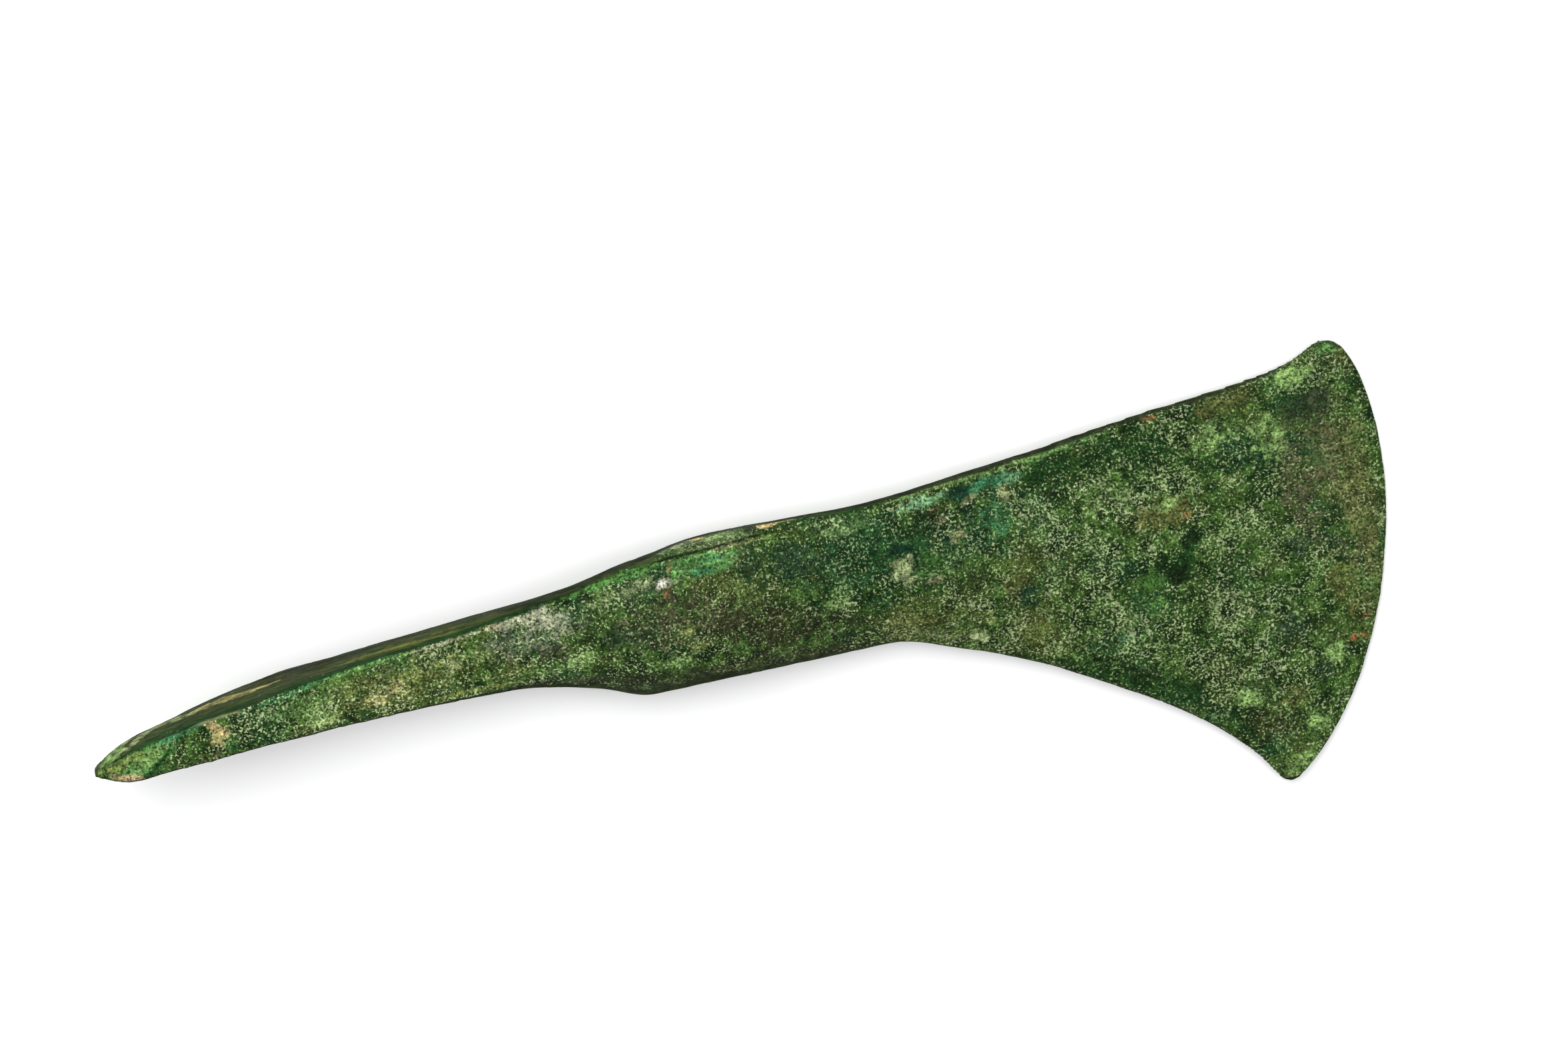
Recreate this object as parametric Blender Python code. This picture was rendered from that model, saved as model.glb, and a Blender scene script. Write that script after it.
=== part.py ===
"""Bronze axe head, one casting.

A narrow tang with a drooping rounded butt, a swelling shoulder with a low lug facet on each narrow
side, a slim waist, and a flared blade with a crescent edge whose two horns reach unequally far.

The casting is modelled along its own haft axis: X from the butt to the edge, Y across the blade
towards the short horn, Z through its thickness. It then lies on one broad face, on a small flat under
the shoulder and on the cutting edge, with the butt a little raised.
"""

import math
from collections import namedtuple

import bmesh
import bpy
from mathutils import Matrix
from mathutils import Vector

MM = 0.001

# Lengths along the haft axis, in millimetres
TANG_LENGTH = 67.0  # butt to neck
NECK_TO_SHOULDER = 18.0
SHOULDER_TO_WAIST = 21.5
FLARE_LENGTH = 56.5  # waist to the line between the horns

# Widths of the outline across the haft axis
BUTT_WIDTH = 5.2
HUMP_WIDTH = 6.5
TANG_WIDTH = 9.1
NECK_WIDTH = 14.6
SHOULDER_WIDTH = 19.3
WAIST_WIDTH = 20.0
BUTT_DROOP = 4.7  # the tip of the butt hangs this far off the haft axis

# How far the middle of the outline wavers off the haft axis
TANG_END_DRIFT = 0.25
NECK_DRIFT = -0.2
SWELL_START_DRIFT = -0.7
SHOULDER_DRIFT = 0.1
WAIST_DRIFT = -0.1

# The crescent cutting edge
HORN_SPAN = 62.7  # straight from horn to horn
HORN_LEAN = 16.4  # the short horn ends this much further along the haft axis
HORN_SHIFT = -10.85  # the middle between the horns lies off the haft axis
EDGE_BOW = 10.4  # the crescent stands this far ahead of the line between the horns
EDGE_PEAK = 0.10  # its furthest place, as a share of half the span
EDGE_THICKNESS = 0.7
HORN_ROUNDING = 1.0

# Full thicknesses: a core is measured in the middle of the broad face, a rim along the narrow side
BUTT_RIM = 5.6
HUMP_RIM = 10.4
SEAT_BUTT_THICKNESS = 7.7  # the broad faces run flat where the haft grips the tang
SEAT_NECK_THICKNESS = 6.8
TANG_END_CORE = 7.7
TANG_END_RIM = 6.0
NECK_CORE = 8.4
NECK_RIM = 3.4
SWELL_START_CORE = 10.2
SWELL_START_RIM = 3.9
SHOULDER_CORE = 11.6
LUG_HEIGHT = 6.6  # the lug facet on each narrow side of the shoulder
SWELL_END_CORE = 9.8
SWELL_END_RIM = 4.0
WAIST_CORE = 7.8
WAIST_RIM = 2.5
FLARE_START_RIM = 2.0
FLARE_RIM = 1.6
BEVEL_CORE = 2.4  # where the bevel of the cutting edge starts
BLADE_RIM = 1.3

NOSE_LENGTH = 6.5  # the butt rounds off over this length
SWELL_START = 8.0  # the shoulder's swell begins this far past the neck
LUG_SHIFT = 1.0  # the lug facets stand highest this far past the shoulder
SWELL_END = 10.0  # and the swell ends this far past it
SEAT_START = 36.0
SEAT_LENGTH = 14.0
SEAT_EASE = 8.0  # the flats fade into the faces beyond them
SEAM_HEIGHT = 0.3  # the casting seam along the middle of each narrow side
CORNER_ROUNDING = 0.8
REST_FLAT_DEPTH = 0.6  # cut off the shoulder's underside, so that the casting doesn't roll
REST_FLAT_REACH = 20.0  # the flat lies within this distance of the shoulder

# Forms without a size of their own
FACE_CROWN = 2.6  # exponent of the broad face's swell: higher is flatter in the middle
NOSE_WIDTH_FULLNESS = 0.85
NOSE_THICKNESS_FULLNESS = 0.4
SHORT_HORN_FULLNESS = (1.8, 0.58)
LONG_HORN_FULLNESS = (2.4, 0.85)

# Mesh density
ROW_SPACING = 2.0
NOSE_ROWS = 7
HORN_ROWS = 4
FACE_COLUMNS = 16
CORNER_STEPS = 2

PATINA_COLOUR = (0.075, 0.135, 0.045, 1.0)
PATINA_ROUGHNESS = 0.55
PATINA_METALLIC = 0.25

# A row of the loft. place: of its middle, along the haft axis. short, long: the outline on the side
# of the short and of the long horn. lean: how far its short side runs ahead. bow: of its crescent.
Row = namedtuple("Row", "place short long lean bow core rim")


def straight_row(place, centre, width, core, rim):
    """A row square to the haft axis."""
    return Row(place, centre + width / 2, centre - width / 2, 0.0, 0.0, core, rim)


def flared_row(share, short_share, long_share, core, rim):
    """A row of the blade. The shares say how much of its length and of each side's flare is done."""
    waist_place = TANG_LENGTH + NECK_TO_SHOULDER + SHOULDER_TO_WAIST
    half_reach = math.sqrt(HORN_SPAN**2 - HORN_LEAN**2) / 2
    half_waist = WAIST_WIDTH / 2
    short_flare = HORN_SHIFT + half_reach - half_waist
    long_flare = HORN_SHIFT - half_reach + half_waist
    return Row(
        waist_place + share * FLARE_LENGTH,
        half_waist + short_share * short_flare,
        long_share * long_flare - half_waist,
        share * HORN_LEAN,
        share**2 * EDGE_BOW,
        core,
        rim,
    )


def stations():
    """The named sections that the casting is lofted through, from the butt to the edge."""
    neck = TANG_LENGTH
    shoulder = neck + NECK_TO_SHOULDER
    waist = shoulder + SHOULDER_TO_WAIST
    seat = (SEAT_BUTT_THICKNESS + SEAT_NECK_THICKNESS) / 2
    taper = WAIST_CORE - BEVEL_CORE
    return (
        straight_row(0.0, -BUTT_DROOP, BUTT_WIDTH, BUTT_RIM, BUTT_RIM),
        straight_row(0.13 * neck, -0.77 * BUTT_DROOP, BUTT_WIDTH, 1.27 * BUTT_RIM, 1.25 * BUTT_RIM),
        straight_row(0.20 * neck, -0.58 * BUTT_DROOP, 1.15 * BUTT_WIDTH, 0.85 * HUMP_RIM, 0.84 * HUMP_RIM),
        straight_row(0.31 * neck, -0.35 * BUTT_DROOP, HUMP_WIDTH, HUMP_RIM, HUMP_RIM),
        straight_row(0.41 * neck, -0.2 * BUTT_DROOP, 0.84 * TANG_WIDTH, 0.92 * HUMP_RIM, 0.92 * HUMP_RIM),
        straight_row(0.63 * neck, -0.05 * BUTT_DROOP, TANG_WIDTH, seat, seat),
        straight_row(0.82 * neck, TANG_END_DRIFT, 1.16 * TANG_WIDTH, TANG_END_CORE, TANG_END_RIM),
        straight_row(neck, NECK_DRIFT, NECK_WIDTH, NECK_CORE, NECK_RIM),
        straight_row(
            neck + SWELL_START, SWELL_START_DRIFT, 0.97 * SHOULDER_WIDTH, SWELL_START_CORE, SWELL_START_RIM
        ),
        straight_row(shoulder + LUG_SHIFT, SHOULDER_DRIFT, SHOULDER_WIDTH, SHOULDER_CORE, LUG_HEIGHT),
        straight_row(shoulder + SWELL_END, 0.0, WAIST_WIDTH, SWELL_END_CORE, SWELL_END_RIM),
        straight_row(waist, WAIST_DRIFT, WAIST_WIDTH, WAIST_CORE, WAIST_RIM),
        flared_row(0.2, 0.108, 0.094, WAIST_CORE - 0.28 * taper, FLARE_START_RIM),
        flared_row(0.4, 0.262, 0.229, WAIST_CORE - 0.54 * taper, FLARE_RIM),
        flared_row(0.6, 0.434, 0.409, WAIST_CORE - 0.79 * taper, BLADE_RIM),
        flared_row(0.8, 0.565, 0.622, BEVEL_CORE, BLADE_RIM),
        flared_row(0.9, 0.700, 0.770, (BEVEL_CORE + EDGE_THICKNESS) / 2, 0.85 * BLADE_RIM),
        flared_row(0.95, 0.815, 0.865, (BEVEL_CORE + 3 * EDGE_THICKNESS) / 4, EDGE_THICKNESS),
        flared_row(1.0, 1.0, 1.0, EDGE_THICKNESS, EDGE_THICKNESS),
    )


def slopes(places, values):
    """The slope at each point of a smooth line: flat where it turns, so that it never overshoots."""
    secants = []
    for index in range(len(places) - 1):
        rise = values[index + 1] - values[index]
        secants.append(rise / (places[index + 1] - places[index]))
    inner = []
    for before, after in zip(secants, secants[1:]):
        turning = before * after <= 0
        inner.append(0.0 if turning else 2 * before * after / (before + after))
    return [secants[0]] + inner + [secants[-1]]


def smooth_value(places, values, rates, place):
    """The smooth line's value at a place."""
    index = 0
    while index < len(places) - 2 and place > places[index + 1]:
        index += 1
    gap = places[index + 1] - places[index]
    share = (place - places[index]) / gap
    rest = 1 - share
    start = values[index] * (1 + 2 * share) + gap * rates[index] * share
    end = values[index + 1] * (1 + 2 * rest) - gap * rates[index + 1] * rest
    return start * rest**2 + end * share**2


def row_reader(rows):
    """A function that gives the smooth row at any place along the haft axis."""
    places = [row.place for row in rows]
    columns = list(zip(*rows))
    rates = [slopes(places, column) for column in columns]

    def row_at(place):
        return Row(*[smooth_value(places, column, rate, place) for column, rate in zip(columns, rates)])

    return row_at


def seat_thickness(place):
    """The straight taper of the tang's two flat faces."""
    share = (place - SEAT_START) / SEAT_LENGTH
    return SEAT_BUTT_THICKNESS + share * (SEAT_NECK_THICKNESS - SEAT_BUTT_THICKNESS)


def seat_weight(place):
    """One on the seat's flats, easing to nothing over a short way beyond each end."""
    beyond = max(SEAT_START - place, place - SEAT_START - SEAT_LENGTH, 0.0)
    share = max(1 - beyond / SEAT_EASE, 0.0)
    return share * share * (3 - 2 * share)


def nose_share(place, fullness):
    """How full the rounded butt is at a place: nothing at its tip, one where the tang begins."""
    ahead = min(place / NOSE_LENGTH, 1.0)
    return (1 - (1 - ahead) ** 2) ** fullness


def crescent(across):
    """The edge's lead over the line between the horns, as a share of its bow. across: -1 to 1."""
    if across > EDGE_PEAK:
        power, root = SHORT_HORN_FULLNESS
        reach = (across - EDGE_PEAK) / (1 - EDGE_PEAK)
    else:
        power, root = LONG_HORN_FULLNESS
        reach = (EDGE_PEAK - across) / (1 + EDGE_PEAK)
    return max(1 - reach**power, 0.0) ** root


def face_spread():
    """Where the columns of the broad face lie, from -1 to 1, closer together towards its sides."""
    spread = []
    for column in range(FACE_COLUMNS + 1):
        even = 2 * column / FACE_COLUMNS - 1
        spread.append(0.5 * even + 0.5 * math.sin(even * math.pi / 2))
    return spread


def half_ring(half_width, core, rim):
    """The upper half of a section, from the seam on the long side to the seam on the short side.

    Gives pairs of a place across the section and a height above its middle.
    """
    seam = min(SEAM_HEIGHT, 0.1 * rim, 0.2 * half_width)
    wall = half_width - seam
    rounding = min(CORNER_ROUNDING, 0.3 * rim, 0.4 * wall)
    flat_half = wall - rounding
    corner = []
    for step in range(CORNER_STEPS, 0, -1):
        angle = step * math.pi / 2 / CORNER_STEPS
        out = flat_half + rounding * math.sin(angle)
        corner.append((out, rim / 2 - rounding * (1 - math.cos(angle))))
    face = []
    for share in face_spread():
        swell = (core - rim) / 2 * (1 - abs(share) ** FACE_CROWN)
        face.append((share * flat_half, rim / 2 + swell))
    long_side = [(-half_width, 0.0)] + [(-out, height) for out, height in corner]
    short_side = list(reversed(corner)) + [(half_width, 0.0)]
    return long_side + face + short_side


def ring_points(row, inset, ahead, thinning):
    """One closed ring of the loft, in millimetres.

    inset: how far both ends draw in. ahead: how far the whole ring moves towards the edge.
    thinning: the share of its thickness that stays.
    """
    long_end = Vector((row.place - row.lean / 2, row.long, 0.0))
    short_end = Vector((row.place + row.lean / 2, row.short, 0.0))
    along = short_end - long_end
    half_span = along.length / 2
    along.normalize()
    forward = Vector((along.y, -along.x, 0.0))
    middle = (long_end + short_end) / 2
    weight = seat_weight(row.place)
    seat = seat_thickness(row.place)
    thickness_share = nose_share(row.place, NOSE_THICKNESS_FULLNESS) * thinning
    core = (row.core + weight * (seat - row.core)) * thickness_share
    rim = (row.rim + weight * (seat - row.rim)) * thickness_share
    half_width = (half_span - inset) * nose_share(row.place, NOSE_WIDTH_FULLNESS)
    upper = []
    for across, height in half_ring(half_width, core, rim):
        lead = row.bow * crescent(across / half_span) + ahead
        upper.append(middle + along * across + forward * lead + Vector((0.0, 0.0, height)))
    lower = [Vector((point.x, point.y, -point.z)) for point in reversed(upper[1:-1])]
    return upper + lower


def loft_rings():
    """All rings of the casting, from the butt to the edge."""
    rows = stations()
    row_at = row_reader(rows)
    horns = rows[-1].place
    rings = []
    for step in range(1, NOSE_ROWS + 1):
        place = NOSE_LENGTH * (1 - math.cos(step * math.pi / 2 / NOSE_ROWS))
        rings.append(ring_points(row_at(place), 0.0, 0.0, 1.0))
    body_length = horns - HORN_ROUNDING - NOSE_LENGTH
    body_rows = math.ceil(body_length / ROW_SPACING)
    for step in range(1, body_rows + 1):
        place = NOSE_LENGTH + body_length * step / body_rows
        rings.append(ring_points(row_at(place), 0.0, 0.0, 1.0))
    for step in range(1, HORN_ROWS + 1):
        angle = step * math.pi / 2 / HORN_ROWS
        place = horns - HORN_ROUNDING * (1 - math.sin(angle))
        inset = HORN_ROUNDING * (1 - math.cos(angle))
        rings.append(ring_points(row_at(place), inset, 0.0, 1.0))
    lip_inset = HORN_ROUNDING + EDGE_THICKNESS / 4
    rings.append(ring_points(row_at(horns), lip_inset, EDGE_THICKNESS / 4, 0.5))
    return rings


def skin_rings(mesh, rings):
    """Join the rings into one closed skin: a fan on the butt, and a narrow strip along the edge."""
    butt_tip = mesh.verts.new(Vector((0.0, -BUTT_DROOP, 0.0)) * MM)
    loops = [[mesh.verts.new(point * MM) for point in ring] for ring in rings]
    count = len(loops[0])
    for index in range(count):
        after = (index + 1) % count
        mesh.faces.new((butt_tip, loops[0][index], loops[0][after]))
    for near, far in zip(loops, loops[1:]):
        for index in range(count):
            after = (index + 1) % count
            mesh.faces.new((near[index], far[index], far[after], near[after]))
    edge = loops[-1]
    short_seam = count // 2
    mesh.faces.new((edge[0], edge[-1], edge[1]))
    for index in range(1, short_seam - 1):
        mesh.faces.new((edge[index], edge[count - index], edge[count - index - 1], edge[index + 1]))
    mesh.faces.new((edge[short_seam - 1], edge[short_seam + 1], edge[short_seam]))
    bmesh.ops.recalc_face_normals(mesh, faces=mesh.faces)


def floor_pitch(edge_ring):
    """The angle between the haft axis and the floor that the shoulder's flat and the edge lie on."""
    shoulder = TANG_LENGTH + NECK_TO_SHOULDER
    belly = SHOULDER_CORE / 2 - REST_FLAT_DEPTH
    furthest = max(point.x for point in edge_ring)
    return math.atan2(belly - EDGE_THICKNESS / 2, furthest - shoulder)


def cut_rest_flat(mesh, pitch):
    """Cut the shoulder's underside off along the floor, and close the cut with a flat face."""
    shoulder = TANG_LENGTH + NECK_TO_SHOULDER
    belly = SHOULDER_CORE / 2 - REST_FLAT_DEPTH
    on_floor = Vector((shoulder, 0.0, -belly)) * MM
    downward = Vector((math.sin(pitch), 0.0, -math.cos(pitch)))
    reach = REST_FLAT_REACH * MM
    near_shoulder = [face for face in mesh.faces if abs(face.calc_center_median().x - on_floor.x) < reach]
    region = set(near_shoulder)
    for face in near_shoulder:
        region.update(face.edges)
        region.update(face.verts)
    cut = bmesh.ops.bisect_plane(
        mesh, geom=list(region), plane_co=on_floor, plane_no=downward, clear_outer=True
    )
    rim = [part for part in cut["geom_cut"] if isinstance(part, bmesh.types.BMEdge)]
    bmesh.ops.edgeloop_fill(mesh, edges=rim)
    bmesh.ops.recalc_face_normals(mesh, faces=mesh.faces)


def patina_material():
    """Green patina over bronze."""
    material = bpy.data.materials.new("bronze_patina")
    material.use_nodes = True
    shader = material.node_tree.nodes["Principled BSDF"]
    shader.inputs["Base Color"].default_value = PATINA_COLOUR
    shader.inputs["Roughness"].default_value = PATINA_ROUGHNESS
    shader.inputs["Metallic"].default_value = PATINA_METALLIC
    return material


def lay_on_floor(casting, pitch):
    """Tilt the casting onto its flat and its edge, with the middle of its footprint at the origin."""
    tilt = Matrix.Rotation(pitch, 4, "Y")
    corners = [tilt @ vertex.co for vertex in casting.data.vertices]
    middle_x = (min(corner.x for corner in corners) + max(corner.x for corner in corners)) / 2
    middle_y = (min(corner.y for corner in corners) + max(corner.y for corner in corners)) / 2
    lowest = min(corner.z for corner in corners)
    casting.rotation_euler = (0.0, pitch, 0.0)
    casting.location = (-middle_x, -middle_y, -lowest)


def make_casting(collection):
    """The axe head as one closed solid."""
    rings = loft_rings()
    mesh = bmesh.new()
    skin_rings(mesh, rings)
    pitch = floor_pitch(rings[-2])
    cut_rest_flat(mesh, pitch)
    data = bpy.data.meshes.new("axe_head")
    mesh.to_mesh(data)
    mesh.free()
    data.materials.append(patina_material())
    data.shade_smooth()
    data.set_sharp_from_angle(angle=math.radians(40))
    casting = bpy.data.objects.new("axe_head", data)
    collection.objects.link(casting)
    lay_on_floor(casting, pitch)
    return casting


def main():
    for old in list(bpy.data.objects):
        bpy.data.objects.remove(old, do_unlink=True)
    collection = bpy.data.collections.new("bronze_axe_head")
    bpy.context.scene.collection.children.link(collection)
    make_casting(collection)


main()
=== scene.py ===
"""Looks of the bronze axe head: its corroded skin, its green patina, the floor, light and camera.

The skin is made in the casting's own millimetres: X runs along the haft axis from the butt to the
cutting edge, Y across the blade towards the short horn, and Z off the mid-plane, up on the face that
lies upwards. Everything that is placed on the axe head below is placed in that frame.
"""

import math
import random
from collections import namedtuple

import bmesh
import bpy
import numpy as np
from mathutils import Matrix
from mathutils import Vector
from mathutils import noise
from mathutils.bvhtree import BVHTree


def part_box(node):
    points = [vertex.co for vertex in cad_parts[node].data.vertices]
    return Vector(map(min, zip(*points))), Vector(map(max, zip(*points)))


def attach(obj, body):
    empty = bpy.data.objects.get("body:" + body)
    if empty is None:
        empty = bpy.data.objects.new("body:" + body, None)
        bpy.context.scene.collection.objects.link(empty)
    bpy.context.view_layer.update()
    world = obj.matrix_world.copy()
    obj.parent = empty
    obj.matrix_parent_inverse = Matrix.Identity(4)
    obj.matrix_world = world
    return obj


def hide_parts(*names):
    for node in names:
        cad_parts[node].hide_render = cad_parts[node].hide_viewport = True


bl_info = {
    "name": "Bronze Axe Head",
    "version": (1, 0, 0),
    "blender": (4, 5, 0),
    "location": "View3D > Sidebar > Axe Head",
    "description": "Gives a cast bronze axe head its corroded skin, green patina and studio",
    "category": "Object",
}

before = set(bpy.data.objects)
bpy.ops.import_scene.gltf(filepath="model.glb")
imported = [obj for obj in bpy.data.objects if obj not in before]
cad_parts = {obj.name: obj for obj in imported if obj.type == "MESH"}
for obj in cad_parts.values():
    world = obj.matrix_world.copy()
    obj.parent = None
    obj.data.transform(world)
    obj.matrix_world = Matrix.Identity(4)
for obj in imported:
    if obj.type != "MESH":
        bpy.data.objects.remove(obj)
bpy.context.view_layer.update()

MM = 0.001
TINY = 1e-6

# Where the casting lies: the tilt of its haft axis, and the place of its butt, in millimetres
HAFT_PITCH = math.radians(3.0587)
HAFT_START = (-87.846, 10.884, 9.728)
HAFT_TURN = Matrix.Rotation(HAFT_PITCH, 4, "Y")

# Places along the haft axis, in millimetres
TANG_END = 60.0
LUG_START = 79.0
LUG_END = 99.0
WAIST = 106.5
BEVEL = 158.0
EDGE = 176.0

# The solid is subdivided this often, and the smooth form is drawn towards the solid's own corners so
# many times, by this share each time. Before that, points nearer than MERGE_GAP millimetres become one,
# and triangles join into four-sided faces where they differ by less than the two JOIN angles
MERGE_GAP = 0.003
JOIN_ANGLE = math.radians(30)
JOIN_SHAPE = math.radians(60)
SMOOTH_LEVELS = 2
CORNER_ROUNDS = 3
CORNER_SHARE = 0.8

# How far the broad face is turned away, about the haft axis, from whoever looks at it as photographed
SEEN_TILT = math.radians(18.0)


def paint(red, green, blue):
    """A colour given as display values from 0 to 255, as the linear colour that shaders use."""
    shades = []
    for value in (red, green, blue):
        share = value / 255
        shades.append(share / 12.92 if share <= 0.04045 else ((share + 0.055) / 1.055) ** 2.4)
    return tuple(shades)


def rows_of(kind, rows):
    """Rows of plain values as items of one kind."""
    return tuple(kind(*row) for row in rows)


DEEP_GREEN = paint(12, 38, 8)
FOREST = paint(22, 56, 20)
MOSS_GREEN = paint(66, 96, 40)
OLIVE = paint(94, 100, 50)
BLUE_GREEN = paint(36, 78, 48)
GRASS = paint(72, 112, 48)
VIVID_GREEN = paint(94, 146, 78)
LIGHT_GREEN = paint(138, 174, 100)
YELLOW_GREEN = paint(132, 142, 76)
TEAL = paint(52, 112, 74)
DEEP_TEAL = paint(16, 52, 36)
PALE_TEAL = paint(116, 166, 118)
BROWN_OLIVE = paint(100, 104, 54)
PURPLE_BROWN = paint(82, 80, 56)
DARK_BROWN = paint(46, 46, 26)
NEAR_BLACK = paint(16, 32, 12)
COOL_DARK = paint(38, 60, 42)
GREY_GREEN = paint(146, 160, 112)
ASH_AND_SHEEN = paint(158, 163, 134)
WHITE_CRUST_AND_GLINT = paint(232, 228, 212)
TAN = paint(200, 182, 124)
PALE_TAN = paint(164, 156, 100)
PINK_TAN = paint(204, 174, 136)
SCAB = paint(132, 134, 94)
RUST = paint(142, 108, 66)
ORANGE_RUST = paint(158, 104, 64)
# The dark rims' colour: a shade painted along the rounded upper and lower edges
PAINTED_RIM_SHADE = paint(38, 46, 28)
PALE_GRAIN = paint(188, 198, 154)
GREEN_GRAIN = paint(142, 156, 114)
# The narrow sides' greens, darker than their patina alone: partly painted shade where the sides face away
# from the light
FLANK_GREEN_AND_SHADE = paint(28, 42, 22)
FLANK_OLIVE_AND_SHADE = paint(60, 64, 36)

# Places on the side that the photograph shows are given along the haft axis and across it as seen
# there, with the face turned away by SEEN_TILT. A stain: its place and half sizes, its turn in
# degrees, its colour, how much of it covers the green below, and how many pale grains it has, from
# none at 0 to the usual amount at 1
Stain = namedtuple("Stain", "along across length width turn colour cover grains")

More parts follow.
